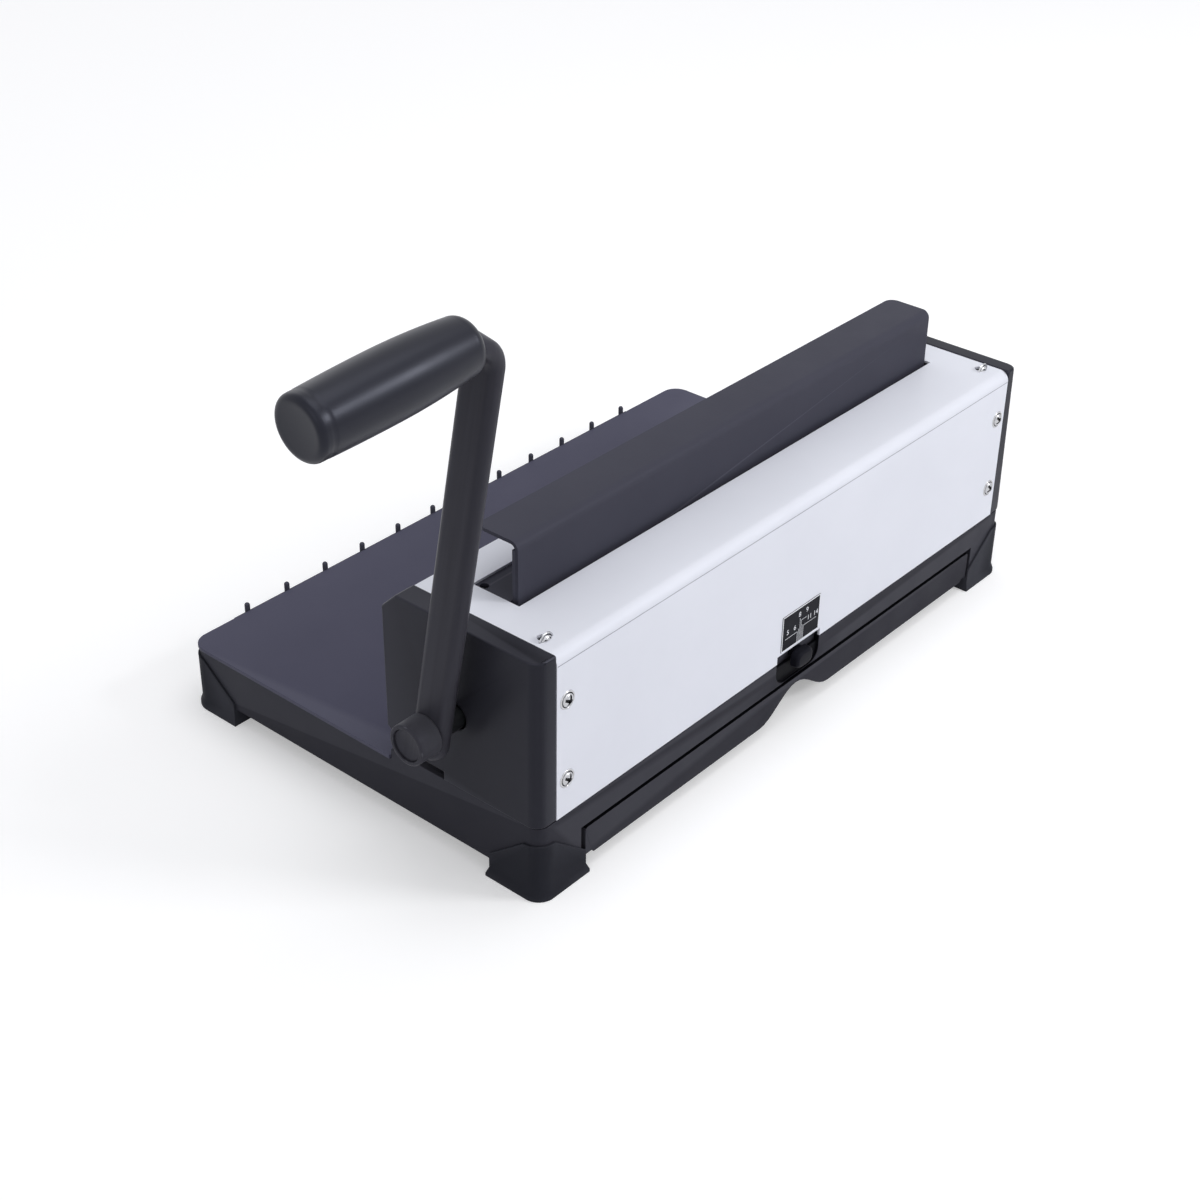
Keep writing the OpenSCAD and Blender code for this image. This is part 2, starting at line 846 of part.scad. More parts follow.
// Steel side plate with folded flanges for the cover and the slot plate
module side_plate() {
  in_top = case_top - cover_t;
  difference() {
    union() {
      along_x(web_x, cover_x) difference() {
        union() {
          case_profile(cover_t, base_top, case_top);
          translate([lug_y0, base_top - lug_drop]) square([lug_y1 - lug_y0, lug_drop + over]);
        }
        translate([case_front - over, table_top]) square([stop_y - case_front + over, throat_gap]);
        polygon([
          [case_front - over, throat_top - over], [case_front - over, mouth_top + 2 * cover_t],
          [case_front + cover_t, mouth_top + 2 * cover_t],
          [case_front + mouth_d + cover_t, mouth_low + 2 * cover_t],
          [case_front + mouth_d + cover_t, throat_top - over]
        ]);
        translate([case_front - over, base_top - over])
          square([lug_y0 - case_front + over, table_t + over]);
        translate([base_d - base_wall - gap, base_top - over])
          square([base_wall + over, cover_bottom - base_top + over]);
      }
      block([web_x - flange_w, top_screw_y - flange_d / 2, in_top - flange_t],
        [web_x + fine_gap, top_screw_y + flange_d / 2, in_top]);
      block([web_x - flange_w, base_d - cover_t - flange_t, rear_screw_z[1] - flange_d / 2],
        [web_x + fine_gap, base_d - cover_t, rear_screw_z[0] + flange_d / 2]);
      block([web_x - shelf_w, shelf_y0, shelf_z - flange_t],
        [web_x + fine_gap, shelf_y1, shelf_z]);
    }
    rod_x(web_x - over, cover_x + over, shaft_r + bush_wall + press_gap, shaft_y, shaft_h);
    for (place = rod_places)
      rod_x(web_x - over, cover_x + over, frame_screw_r + fine_gap, place[0], place[1]);
    for (place = sunk_places) {
      rod_x(web_x - over, cover_x + over, sunk_screw_r + fine_gap, place[0], place[1]);
      rod_x(cover_x - sunk_head_h, cover_x + over, sunk_head_r + fine_gap, place[0], place[1]);
    }
    translate([cover_screw_x, top_screw_y, in_top - flange_t - over])
      cylinder(h = flange_t + 2 * over, r = frame_screw_r + fine_gap);
    for (z = rear_screw_z) translate([cover_screw_x, base_d, z]) rotate([90, 0, 0])
      cylinder(h = cover_t + flange_t + over, r = frame_screw_r + fine_gap);
    translate([plate_screw_x, plate_screw_y, shelf_z - flange_t - over])
      cylinder(h = flange_t + 2 * over, r = frame_screw_r + fine_gap);
  }
}

module side_plate_right() {
  color(steel) side_plate();
}

module side_plate_left() {
  color(steel) left_side() side_plate();
}

// Screws that hold the plates and rods between the side plates
module frame_screws() {
  color(dark_steel) both_sides() {
    for (place = rod_places) {
      rod_x(cover_x, cover_x + frame_head_h, frame_head_r, place[0], place[1]);
      rod_x(web_x - frame_screw_l, cover_x, frame_screw_r, place[0], place[1]);
    }
    for (place = sunk_places) {
      rod_x(cover_x - sunk_head_h, cover_x, sunk_head_r, place[0], place[1]);
      rod_x(web_x - frame_screw_l, cover_x - sunk_head_h, sunk_screw_r, place[0], place[1]);
    }
  }
}

// Blind screw holes in both ends of a piece between the side plates
module end_bores(places, screw_r) {
  both_sides() for (place = places)
    rod_x(web_x - frame_screw_l - gap, web_x + over, screw_r + press_gap, place[0], place[1]);
}

// Place of a hole along the machine
function hole_x(i) = (i - (hole_count - 1) / 2) * hole_pitch;

// Square holes through a plate between two levels
module hole_row(side, z0, z1) {
  for (i = [0 : hole_count - 1])
    block([hole_x(i) - side / 2, punch_y - side / 2, z0 - over],
      [hole_x(i) + side / 2, punch_y + side / 2, z1 + over]);
}

// Hardened die with one square hole for each punch
module die_plate() {
  color(dark_steel) difference() {
    block([-web_x, die_y0, table_top - die_t], [web_x, die_y1, table_top]);
    hole_row(hole_side, table_top - die_t, table_top);
    end_bores(die_places, sunk_screw_r);
  }
}

// Bar between die and guide that the stack's edge is pushed against
module paper_stop() {
  color(steel) block([-web_x, stop_y, table_top], [web_x, die_y1, throat_top]);
}

// Guide that keeps the punches in line over the die
module punch_guide() {
  color(dark_steel) difference() {
    block([-web_x, die_y0, throat_top], [web_x, die_y1, guide_top]);
    hole_row(hole_side, throat_top, guide_top);
    end_bores(guide_places, sunk_screw_r);
  }
}

// Round rod between the side plates
module tie_rod(place) {
  difference() {
    rod_x(-web_x, web_x, tie_r, place[0], place[1]);
    end_bores([place], frame_screw_r);
  }
}

module rear_tie_rod() {
  color(steel) tie_rod(rod_places[0]);
}

// Rod that the return springs hang from
module spring_rod() {
  color(steel) tie_rod(rod_places[1]);
}

// Flanged bush of the main shaft
module shaft_bush() {
  difference() {
    union() {
      rod_x(web_x, cover_x + over, shaft_r + bush_wall, shaft_y, shaft_h);
      rod_x(cover_x, cover_x + bush_flange_t, shaft_r + bush_wall + bush_flange,
        shaft_y, shaft_h);
    }
    rod_x(web_x - over, cover_x + bush_flange_t + over, shaft_r + fine_gap, shaft_y, shaft_h);
  }
}

module shaft_bush_right() {
  color(bronze) shaft_bush();
}

module shaft_bush_left() {
  color(bronze) left_side() shaft_bush();
}

// Plate just under the cover's slot that the wire lies on while it is closed
module slot_plate() {
  color(black_paint) difference() {
    block([-slot_plate_x, slot_plate_y0, shelf_z], [slot_plate_x, slot_plate_y1, slot_plate_z]);
    both_sides() translate([plate_screw_x, plate_screw_y, shelf_z - over])
      cylinder(h = slot_plate_t + 2 * over, r = frame_screw_r + fine_gap);
  }
}

// Two screws of the slot plate
module slot_plate_screws() {
  color(bright_steel) both_sides() translate([plate_screw_x, plate_screw_y, slot_plate_z])
    cross_screw(plate_head_r, cover_t, frame_screw_r, slot_plate_t + flange_t);
}

// Thin scale plate over the size knob
module size_label() {
  color(black_paint) block([-label_w / 2, base_d, label_z0],
    [label_w / 2, base_d + label_t, label_z0 + label_h]);
}

// Main shaft, right through the machine
module main_shaft() {
  color(bright_steel) rod_x(shaft_x0, shaft_x1, shaft_r, shaft_y, shaft_h);
}

// Distance of the roller's centre from the shaft after the lever has turned by a
function roller_path(a) = roller_drop + press_travel * a / lever_swing;

// Direction of the roller in the cam's own frame, which turns back under it
function roller_dir(a) = [cos(-90 - a), sin(-90 - a)];

// Outward normal of the roller's path there
function path_normal(a) = let (
  slope = press_travel / lever_swing * 180 / PI,
  d = roller_dir(a),
  side = [d[1], -d[0]],
  n = roller_path(a) * d - slope * side
) n / norm(n);

// Point of the cam's face: the roller's path drawn in by the roller and the play
function cam_point(a) =
  roller_path(a) * roller_dir(a) - (roller_r + cam_gap) * path_normal(a);

// Snail cam with its hub; its face grows by the same amount for every degree
module snail_cam() {
  last = lever_swing + cam_lead;
  hub_end = web_x - cam_hub_gap;
  difference() {
    union() {
      translate([0, shaft_y, shaft_h]) along_x(cam_x0, cam_x0 + cam_t)
        polygon(concat([[0, 0]],
          [for (i = [0 : cam_parts]) cam_point(i * last / cam_parts)]));
      rod_x(cam_x0, hub_end, cam_low_r, shaft_y, shaft_h);
    }
    rod_x(cam_x0 - over, hub_end + over, shaft_r + press_gap, shaft_y, shaft_h);
  }
}

module cam_right() {
  color(dark_steel) snail_cam();
}

module cam_left() {
  color(dark_steel) left_side() snail_cam();
}

// Ring piece on the shaft
module shaft_ring(x0, x1, r) {
  difference() {
    rod_x(x0, x1, r, shaft_y, shaft_h);
    rod_x(x0 - over, x1 + over, shaft_r + press_gap, shaft_y, shaft_h);
  }
}

// Collar that keeps the shaft in place, inside the left side cover
module shaft_collar() {
  color(steel) shaft_ring(collar_x1 - collar_w, collar_x1, collar_r);
}

// Sleeve between the right bush and the arm
module shaft_sleeve() {
  color(dark_steel) shaft_ring(cover_x + bush_flange_t + gap, arm_x - arm_t / 2, sleeve_r);
}

// Lever frame: the shaft at the origin, the arm along Z
module in_lever() {
  translate([0, shaft_y, shaft_h]) rotate([-arm_lean, 0, 0]) children();
}

// Flat oval arm with its rounded foot, elbow and the stub inside the grip
module lever_arm() {
  straight = arm_len - elbow_r;
  foot_z = arm_w / 2 + arm_tail;
  color(charcoal) in_lever() difference() {
    union() {
      intersection() {
        translate([arm_x, 0, -foot_z]) linear_extrude(straight + foot_z) arm_oval(0);
        along_x(arm_x - arm_t, arm_x + arm_t) {
          translate([0, -arm_tail]) circle(arm_w / 2);
          translate([-arm_w / 2, -arm_tail]) square([arm_w, straight + arm_tail]);
        }
      }
      translate([grip_x0, 0, straight]) rotate([90, 0, 0]) rotate([0, 0, 90])
        rotate_extrude(angle = 90) translate([elbow_r, 0]) arm_oval(0);
      translate([grip_x0, 0, arm_len]) rotate([0, 90, 0])
        linear_extrude(grip_len - stub_end) arm_oval(0);
    }
    rod_x(arm_x - arm_t, arm_x + arm_t, shaft_r + press_gap, 0, 0);
  }
}

// Round boss on the arm's outer face
module lever_hub() {
  color(charcoal) translate([0, shaft_y, shaft_h]) rotate([0, 90, 0]) difference() {
    union() {
      translate([0, 0, hub_x0]) cylinder(h = hub_len - hub_edge, r = hub_r);
      translate([0, 0, hub_x1 - hub_edge])
        cylinder(h = hub_edge, r1 = hub_r, r2 = hub_r - hub_edge);
    }
    translate([0, 0, hub_x1 - hub_recess_h - cap_t])
      cylinder(h = hub_recess_h + cap_t + over, r = hub_recess_r);
    translate([0, 0, hub_x0 - over]) cylinder(h = hub_len + over, r = shaft_r + press_gap);
  }
}

// Disc that closes the hub's recess
module hub_cap() {
  color(charcoal) rod_x(shaft_x1, shaft_x1 + cap_t, hub_recess_r - press_gap, shaft_y, shaft_h);
}

// Radius of the grip at a share s of its length
function grip_at(s) = let (
  side = s < grip_peak_share ? grip_start_share : grip_end_share,
  run = s < grip_peak_share ? grip_peak_share : 1 - grip_peak_share,
  t = (s - grip_peak_share) / run
) grip_r * (1 - (1 - side) * t * t);

// Barrel-shaped hand grip
module lever_grip() {
  body = [for (i = [0 : grip_parts]) let (
    x = grip_edge_r + (grip_len - 2 * grip_edge_r) * i / grip_parts
  ) [grip_at(x / grip_len), x]];
  start_c = [body[0][0] - grip_edge_r, grip_edge_r];
  end_c = [body[grip_parts][0] - grip_edge_r, grip_len - grip_edge_r];
  color(rubber_black) in_lever() translate([grip_x0, 0, arm_len]) difference() {
    rotate([0, 90, 0]) rotate_extrude() {
      polygon(concat([[0, grip_edge_r]], body, [[0, grip_len - grip_edge_r]]));
      square([start_c[0], grip_len]);
      intersection() {
        translate(start_c) circle(grip_edge_r);
        square([grip_r, grip_edge_r]);
      }
      intersection() {
        translate(end_c) circle(grip_edge_r);
        translate([0, grip_len - grip_edge_r]) square([grip_r, grip_edge_r]);
      }
    }
    translate([-over, 0, 0]) rotate([0, 90, 0])
      linear_extrude(grip_len - stub_end + over + gap) arm_oval(press_gap);
  }
}

// L-shaped bar that presses the wire closed; its rear flange passes through the slot
module closing_bar() {
  inner_r = bar_bend_r - bar_t;
  corner_r = 5;
  color(black_paint) difference() {
    along_x(-bar_x, bar_x) difference() {
      translate([bar_y0, tab_z0]) square([bar_d, bar_top - tab_z0]);
      translate([bar_y1, bar_top]) mirror([1, 0]) mirror([0, 1]) corner_cut(bar_bend_r);
      difference() {
        translate([bar_y0 - over, tab_z0 - over])
          square([bar_d - bar_t + over, bar_top - bar_t - tab_z0 + over]);
        translate([bar_y1 - bar_t, bar_top - bar_t]) mirror([1, 0]) mirror([0, 1])
          corner_cut(inner_r);
      }
    }
    both_sides() translate([-bar_x, bar_y0, bar_top - 2 * bar_t])
      linear_extrude(3 * bar_t) corner_cut(corner_r);
    both_sides() for (x = tab_screw_x) translate([x, bar_y1 + over, tab_screw_z])
      rotate([90, 0, 0]) cylinder(h = bar_t + 2 * over, r = carrier_screw_r + fine_gap);
  }
}

// Flat strip inside the bar's rear flange that stiffens it
module press_strip() {
  color(black_paint) difference() {
    block([-bar_x, tab_y1, tab_z0], [bar_x, tab_y1 + strip_t, bar_top - strip_drop]);
    both_sides() for (x = tab_screw_x) translate([x, tab_y1 + strip_t + over, tab_screw_z])
      rotate([90, 0, 0]) cylinder(h = strip_t + 2 * over, r = carrier_screw_r + fine_gap);
  }
}

// Bracket that joins closing bar, punch bar and cam roller, with a slot for the shaft
module lift_bracket() {
  difference() {
    union() {
      along_x(bracket_x0, bracket_x1) difference() {
        union() {
          polygon([
            [punch_bar_y0, punch_bar_z], [bracket_low_y, punch_bar_z],
            [bracket_low_y, roller_z], [ear_y1, roller_z], [ear_y1, roller_z + ear_h],
            [bracket_y1, roller_z + ear_h], [bracket_y1, shoulder_z], [tab_y1, shoulder_z],
            [tab_y1, neck_z], [bracket_y0, neck_z],
            [bracket_y0, punch_bar_z + punch_bar_h], [punch_bar_y0, punch_bar_z + punch_bar_h]
          ]);
          translate([shaft_y, roller_z]) circle(lobe_r);
        }
        for (z = [shaft_h, shaft_h + press_travel]) translate([shaft_y, z]) circle(slot_half);
        translate([shaft_y - slot_half, shaft_h]) square([2 * slot_half, press_travel]);
      }
      block([bracket_x0 - tab_w, tab_y1 - tab_t, tab_z0], [bracket_x0 + fine_gap, tab_y1, neck_z]);
    }
    rod_x(bracket_x0 - over, bracket_x1 + over, roller_pin_r + press_gap, shaft_y, roller_z);
    for (place = bar_screw_places) rod_x(bracket_x0 - over, bracket_x1 + over,
      carrier_screw_r + fine_gap, place[0], place[1]);
    for (x = tab_screw_x) translate([x, tab_y1 + over, tab_screw_z]) rotate([90, 0, 0])
      cylinder(h = tab_t + 2 * over, r = carrier_screw_r + fine_gap);
  }
}

module lift_bracket_right() {
  color(steel) lift_bracket();
}

module lift_bracket_left() {
  color(steel) left_side() lift_bracket();
}

// Bar that holds the punches
module punch_bar() {
  color(dark_steel) difference() {
    block([-bracket_x0, punch_bar_y0, punch_bar_z],
      [bracket_x0, punch_bar_y1, punch_bar_z + punch_bar_h]);
    for (i = [0 : hole_count - 1])
      block([hole_x(i) - punch_side / 2, punch_y - punch_side / 2, punch_bar_z - over],
        [hole_x(i) + punch_side / 2, punch_y + punch_side / 2, punch_bar_z + punch_seat]);
    both_sides() for (place = bar_screw_places) rod_x(bracket_x0 - bar_screw_l - gap,
      bracket_x0 + over, carrier_screw_r + press_gap, place[0], place[1]);
  }
}

// Square punches with slanted tips, in a row
module punches() {
  half = punch_side / 2;
  color(bright_steel) for (i = [0 : hole_count - 1])
    along_x(hole_x(i) - half, hole_x(i) + half) polygon([
      [punch_y - half, punch_tip_z + punch_slant], [punch_y + half, punch_tip_z],
      [punch_y + half, punch_bar_z + punch_seat], [punch_y - half, punch_bar_z + punch_seat]
    ]);
}

// Arm that reaches under the shaft to the stepped slide
module stop_arm() {
  y0 = punch_bar_y1;
  blade_z = slide_floor + size_steps * step_h + press_travel + gap;
  color(steel) {
    along_x(-arm_half_w, arm_half_w) polygon([
      [y0, punch_bar_z], [bracket_low_y, punch_bar_z], [bracket_low_y, stop_arm_z],
      [stop_blade_y + stop_blade_d / 2, stop_arm_z],
      [stop_blade_y + stop_blade_d / 2, stop_arm_z + stop_arm_t],
      [y0 + stop_arm_t, stop_arm_z + stop_arm_t],
      [y0 + stop_arm_t, punch_bar_z + punch_bar_h], [y0, punch_bar_z + punch_bar_h]
    ]);
    block([-stop_blade_half, stop_blade_y - stop_blade_d / 2, blade_z],
      [stop_blade_half, stop_blade_y + stop_blade_d / 2, stop_arm_z + fine_gap]);
  }
}

// Headed pins that the cam rollers turn on
module roller_pins() {
  end = cam_x0 + cam_t + gap;
  color(bright_steel) both_sides() {
    rod_x(bracket_x0, end, roller_pin_r, shaft_y, roller_z);
    rod_x(end, end + flat_head_h, carrier_head_r, shaft_y, roller_z);
  }
}

// Screws of the carrier: bar ends and closing bar
module carrier_screws() {
  color(dark_steel) both_sides() {
    for (place = bar_screw_places) translate([bracket_x1, place[0], place[1]])
      rotate([0, 90, 0]) carrier_screw(flat_head_h, bracket_t + bar_screw_l);
    for (x = tab_screw_x) translate([x, tab_y1 - tab_t, tab_screw_z]) rotate([90, 0, 0])
      carrier_screw(carrier_head_h, tab_t + strip_t + bar_t);
  }
}

module carrier_screw(head_h, shank_l) {
  cylinder(h = head_h, r = carrier_head_r);
  translate([0, 0, -shank_l]) cylinder(h = shank_l, r = carrier_screw_r);
}

// Roller that the cam pushes down
module cam_roller() {
  difference() {
    rod_x(cam_x0, cam_x0 + cam_t, roller_r, shaft_y, roller_z);
    rod_x(cam_x0 - over, cam_x0 + cam_t + over, roller_pin_r + fine_gap, shaft_y, roller_z);
  }
}

module cam_roller_right() {
  color(bright_steel) cam_roller();
}

module cam_roller_left() {
  color(bright_steel) left_side() cam_roller();
}

// Centre line of a return spring at a share t of its length: straight tail, turns, tail
function spring_line(t) = let (
  rise = spring_z1 - spring_z0,
  turn = 360 * spring_turns * t,
  ease = min(1, min(t, 1 - t) * spring_turns * 2)
) [
  spring_x + spring_r * ease * cos(turn),
  spring_rod_y + spring_r * ease * sin(turn),
  spring_z0 + spring_wire_r + (rise - 2 * spring_wire_r) * t
];

// Ring of points round the centre line at step i
function spring_section(i, steps) = let (
  t = i / steps,
  p = spring_line(t),
  d0 = spring_line(min(1, t + 0.5 / steps)) - spring_line(max(0, t - 0.5 / steps)),
  d = d0 / norm(d0),
  u0 = cross(d, [d[1], -d[0], 0.3]),
  u = u0 / norm(u0),
  v = cross(d, u)
) [for (k = [0 : spring_sides - 1])
  p + spring_wire_r * (cos(360 * k / spring_sides) * u + sin(360 * k / spring_sides) * v)];

// Least gap between the wire's turns, measured on centre points over half a turn apart
function spring_gap(steps) = min([for (i = [0 : steps - spring_ring / 2])
  for (j = [i + spring_ring / 2 : steps])
    norm(spring_line(j / steps) - spring_line(i / steps))]) - 2 * spring_wire_r;

// Coil spring between the bracket's ear and the spring rod
module return_spring() {
  steps = spring_turns * spring_ring;
  n = spring_sides;
  points = [for (i = [0 : steps]) each spring_section(i, steps)];
  walls = [for (i = [0 : steps - 1]) for (k = [0 : n - 1]) each [
    [i * n + k, (i + 1) * n + k, i * n + (k + 1) % n],
    [i * n + (k + 1) % n, (i + 1) * n + k, (i + 1) * n + (k + 1) % n]
  ]];
  low = [for (k = [1 : n - 2]) [0, k, k + 1]];
  high = [for (k = [1 : n - 2]) [steps * n, steps * n + k + 1, steps * n + k]];
  echo(spring_least_gap = spring_gap(steps));
  polyhedron(points, concat(walls, low, high));
}

module return_spring_right() {
  color(bright_steel) return_spring();
}

module return_spring_left() {
  color(bright_steel) left_side() return_spring();
}

// Tray for the paper scraps, with its front, finger arch and two runners
module chip_drawer() {
  color(black_plastic) difference() {
    union() {
      along_y(base_d - base_wall, base_d) drawer_front();
      block([-tray_x, tray_y0, drawer_floor],
        [tray_x, base_d - base_wall + fine_gap, drawer_floor + drawer_t]);
      block([-tray_x, tray_y0, drawer_floor], [tray_x, tray_y0 + drawer_t, drawer_floor + tray_low]);
      block([-tray_x, tray_y1 - drawer_t, drawer_floor], [tray_x, tray_y1, drawer_floor + tray_h]);
      both_sides() {
        block([tray_x - drawer_t, tray_y0, drawer_floor],
          [tray_x, base_d - base_wall + fine_gap, drawer_floor + tray_h]);
        block([tray_x - fine_gap, tray_y0, runner_z],
          [tray_x + runner_w, base_d - base_wall - fine_gap, runner_z + runner_t]);
      }
    }
    along_y(tray_y1, base_d + over) arch_profile();
  }
}

// Drawer front with rounded upper corners and a nick at each lower one
module drawer_front() {
  nick_x = drawer_x - drawer_nick_w;
  difference() {
    polygon([
      [-drawer_x, drawer_z0 + drawer_nick_h], [-nick_x - drawer_nick_h, drawer_z0 + drawer_nick_h],
      [-nick_x, drawer_z0], [nick_x, drawer_z0],
      [nick_x + drawer_nick_h, drawer_z0 + drawer_nick_h], [drawer_x, drawer_z0 + drawer_nick_h],
      [drawer_x, drawer_z1], [-drawer_x, drawer_z1]
    ]);
    for (side = [0, 1]) mirror([side, 0]) translate([-drawer_x, drawer_z1]) mirror([0, 1])
      corner_cut(drawer_corner_r);
  }
}

// Finger arch: an ogee that rises from the lower edge to a rounded top
module arch_profile() {
  steps = 16;
  polygon(concat(
    [[-arch_half_w, drawer_z0 - over], [arch_half_w, drawer_z0 - over]],
    [for (i = [0 : steps]) let (s = 1 - 2 * i / steps)
      [arch_half_w * s, drawer_z0 + arch_h * (0.5 + 0.5 * cos(180 * s))]]
  ));
}

// Knob at the rear with its stem through the window
module size_knob() {
  color(black_plastic) {
    block([-knob_half_w, base_d + gap, knob_z0], [knob_half_w, base_d + knob_out, knob_z0 + knob_h]);
    block([-stem_half_w, slide_y1, stem_z0],
      [stem_half_w, base_d + gap + fine_gap, stem_z0 + stem_h]);
  }
}

// Slide behind the rear rim, with a stair that sets how far the carrier can come down
module stop_slide() {
  x0 = -size_steps * size_pitch / 2;
  y0 = stop_blade_y - stair_d / 2;
  color(black_plastic) {
    block([-slide_x, slide_y1 - slide_plate_t, slide_floor], [slide_x, slide_y1, slide_top]);
    block([-stair_half, y0 + stair_d - fine_gap, slide_floor],
      [stair_half, slide_y1 - slide_plate_t + fine_gap, slide_floor + step_h]);
    along_y(y0, y0 + stair_d) polygon(concat(
      [[-stair_half, slide_floor], [-stair_half, slide_floor + size_steps * step_h]],
      [for (i = [1 : size_steps - 1]) for (j = [0, 1])
        [x0 + i * size_pitch, slide_floor + (size_steps - i + 1 - j) * step_h]],
      [[stair_half, slide_floor + step_h], [stair_half, slide_floor]]
    ));
  }
}

placed() base();
placed() table_plate();
placed() pin_rail();
placed() wire_pins();
placed() foot(true, false);  // foot_front_right
placed() foot(false, false);  // foot_front_left
placed() foot(true, true);  // foot_rear_right
placed() foot(false, true);  // foot_rear_left
placed() foot_screws();
placed() side_cover_right();
placed() side_cover_left();
placed() top_cover();
placed() cover_screws();
placed() side_plate_right();
placed() side_plate_left();
placed() frame_screws();
placed() die_plate();
placed() paper_stop();
placed() punch_guide();
placed() rear_tie_rod();
placed() spring_rod();
placed() shaft_bush_right();
placed() shaft_bush_left();
placed() slot_plate();
placed() slot_plate_screws();
placed() size_label();
placed() main_shaft();
placed() cam_right();
placed() cam_left();
placed() shaft_collar();
placed() shaft_sleeve();
placed() lever_arm();
placed() lever_hub();
placed() hub_cap();
placed() lever_grip();
placed() closing_bar();
placed() press_strip();
placed() lift_bracket_right();
placed() lift_bracket_left();
placed() punch_bar();
placed() punches();
placed() stop_arm();
placed() roller_pins();
placed() carrier_screws();
placed() cam_roller_right();
placed() cam_roller_left();
placed() return_spring_right();
placed() return_spring_left();
placed() chip_drawer();
placed() size_knob();
placed() stop_slide();
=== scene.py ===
# %% [markdown]
# # A wire binding machine, dressed around its construction model
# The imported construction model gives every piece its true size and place. This script gives
# those pieces their finishes, rounds their edges, and models what the eye looks for in a real
# machine: cross-recessed screws, a moulded grip, a printed size scale.
# Everything is in metres, with Z up and the machine standing on the plane Z = 0.

# %% The frame
import json
import math
import bmesh
import bpy
import numpy as np
from mathutils import Matrix, Vector


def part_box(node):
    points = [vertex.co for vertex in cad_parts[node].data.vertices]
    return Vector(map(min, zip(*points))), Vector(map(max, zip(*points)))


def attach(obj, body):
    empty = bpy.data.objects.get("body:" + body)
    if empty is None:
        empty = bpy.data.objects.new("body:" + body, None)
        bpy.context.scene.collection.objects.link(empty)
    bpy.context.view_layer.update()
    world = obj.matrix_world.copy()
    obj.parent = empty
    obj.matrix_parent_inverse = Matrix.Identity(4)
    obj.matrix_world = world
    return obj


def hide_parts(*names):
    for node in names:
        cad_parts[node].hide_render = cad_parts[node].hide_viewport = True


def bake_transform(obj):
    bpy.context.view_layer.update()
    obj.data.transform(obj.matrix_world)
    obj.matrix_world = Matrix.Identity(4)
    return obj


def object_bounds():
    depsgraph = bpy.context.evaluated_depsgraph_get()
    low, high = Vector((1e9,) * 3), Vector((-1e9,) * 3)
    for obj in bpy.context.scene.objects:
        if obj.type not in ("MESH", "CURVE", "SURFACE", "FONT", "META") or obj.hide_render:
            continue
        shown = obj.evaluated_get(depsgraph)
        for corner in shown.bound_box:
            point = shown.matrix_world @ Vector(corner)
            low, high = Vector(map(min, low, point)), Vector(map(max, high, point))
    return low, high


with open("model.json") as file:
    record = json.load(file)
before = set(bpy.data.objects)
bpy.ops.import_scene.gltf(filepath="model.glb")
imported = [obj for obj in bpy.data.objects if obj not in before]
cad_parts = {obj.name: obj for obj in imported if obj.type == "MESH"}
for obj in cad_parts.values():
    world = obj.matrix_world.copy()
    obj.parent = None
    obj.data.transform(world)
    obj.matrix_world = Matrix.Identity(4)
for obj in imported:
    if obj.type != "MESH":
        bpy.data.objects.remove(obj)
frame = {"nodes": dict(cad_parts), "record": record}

MM = 0.001
nodes = frame["nodes"]
cad_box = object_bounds()
low, high = np.array(cad_box[0]), np.array(cad_box[1])
print("box of the machine in mm", ((high - low) / MM).round(1))


def add_object(name, data):
    """New object for a mesh, lamp, letter or camera, put into the scene."""
    added = bpy.data.objects.new(name, data)
    bpy.context.scene.collection.objects.link(added)
    return added


# %% [markdown]
# ## The camera
# The photograph was measured with known lengths on the machine, which gave the place of the
# lens, its direction and its focal length. Three angles turn the camera: round the machine,
# up, and a slight roll. The direction back from the machine to the lens follows from the first
# two, and the roll turns the picture's right and up directions about it.

# %% Camera
camera_place = np.array([611.8, 548.1, 566.5]) * MM
camera_round = math.radians(130.2)
camera_up = math.radians(32.52)
camera_roll = math.radians(0.9)
camera_lens = 60.83


def camera_axes(round_angle, up_angle, roll):
    """Right, up and back directions of a camera: back = (sin a cos e, -cos a cos e, sin e),
    right = -back x Z, up = right x -back, and both turned by the roll."""
    back = np.array([math.sin(round_angle) * math.cos(up_angle),
                     -math.cos(round_angle) * math.cos(up_angle), math.sin(up_angle)])
    right = np.cross(-back, [0, 0, 1])
    right /= np.linalg.norm(right)
    up = np.cross(right, -back)
    turned_right = right * math.cos(roll) + up * math.sin(roll)
    turned_up = up * math.cos(roll) - right * math.sin(roll)
    return turned_right, turned_up, back


camera_data = bpy.data.cameras.new("camera")
camera_data.lens = camera_lens
camera_data.sensor_width = 36
camera_data.clip_start = 0.01
camera = add_object("camera", camera_data)
right, up, back = camera_axes(camera_round, camera_up, camera_roll)
matrix = np.eye(4)
matrix[:3, 0], matrix[:3, 1], matrix[:3, 2], matrix[:3, 3] = right, up, back, camera_place
camera.matrix_world = Matrix(matrix.tolist())
bpy.context.scene.camera = camera
bpy.context.scene.view_settings.view_transform = "Standard"
print("camera at", (camera_place / MM).round(1), "mm, lens", camera_lens, "mm")

# %% [markdown]
# ## Floor, background and lamps
# The photograph is a studio cut-out on white. The floor is a pale sheet that glows a little to
# the camera and in mirrors, so that it reads as white but still takes the machine's soft shadow.
# The world is white where the camera and mirrors see it, and a soft grey where it lights matt
# surfaces. Large lamps stand behind the camera, overhead, in front and to the sides.

# %% Floor and world
floor_half = 6.0
sky_colour = (0.96, 0.97, 1.0, 1)
floor_colour = (0.80, 0.80, 0.81, 1)
floor_glow = 0.34
world_light = 0.48


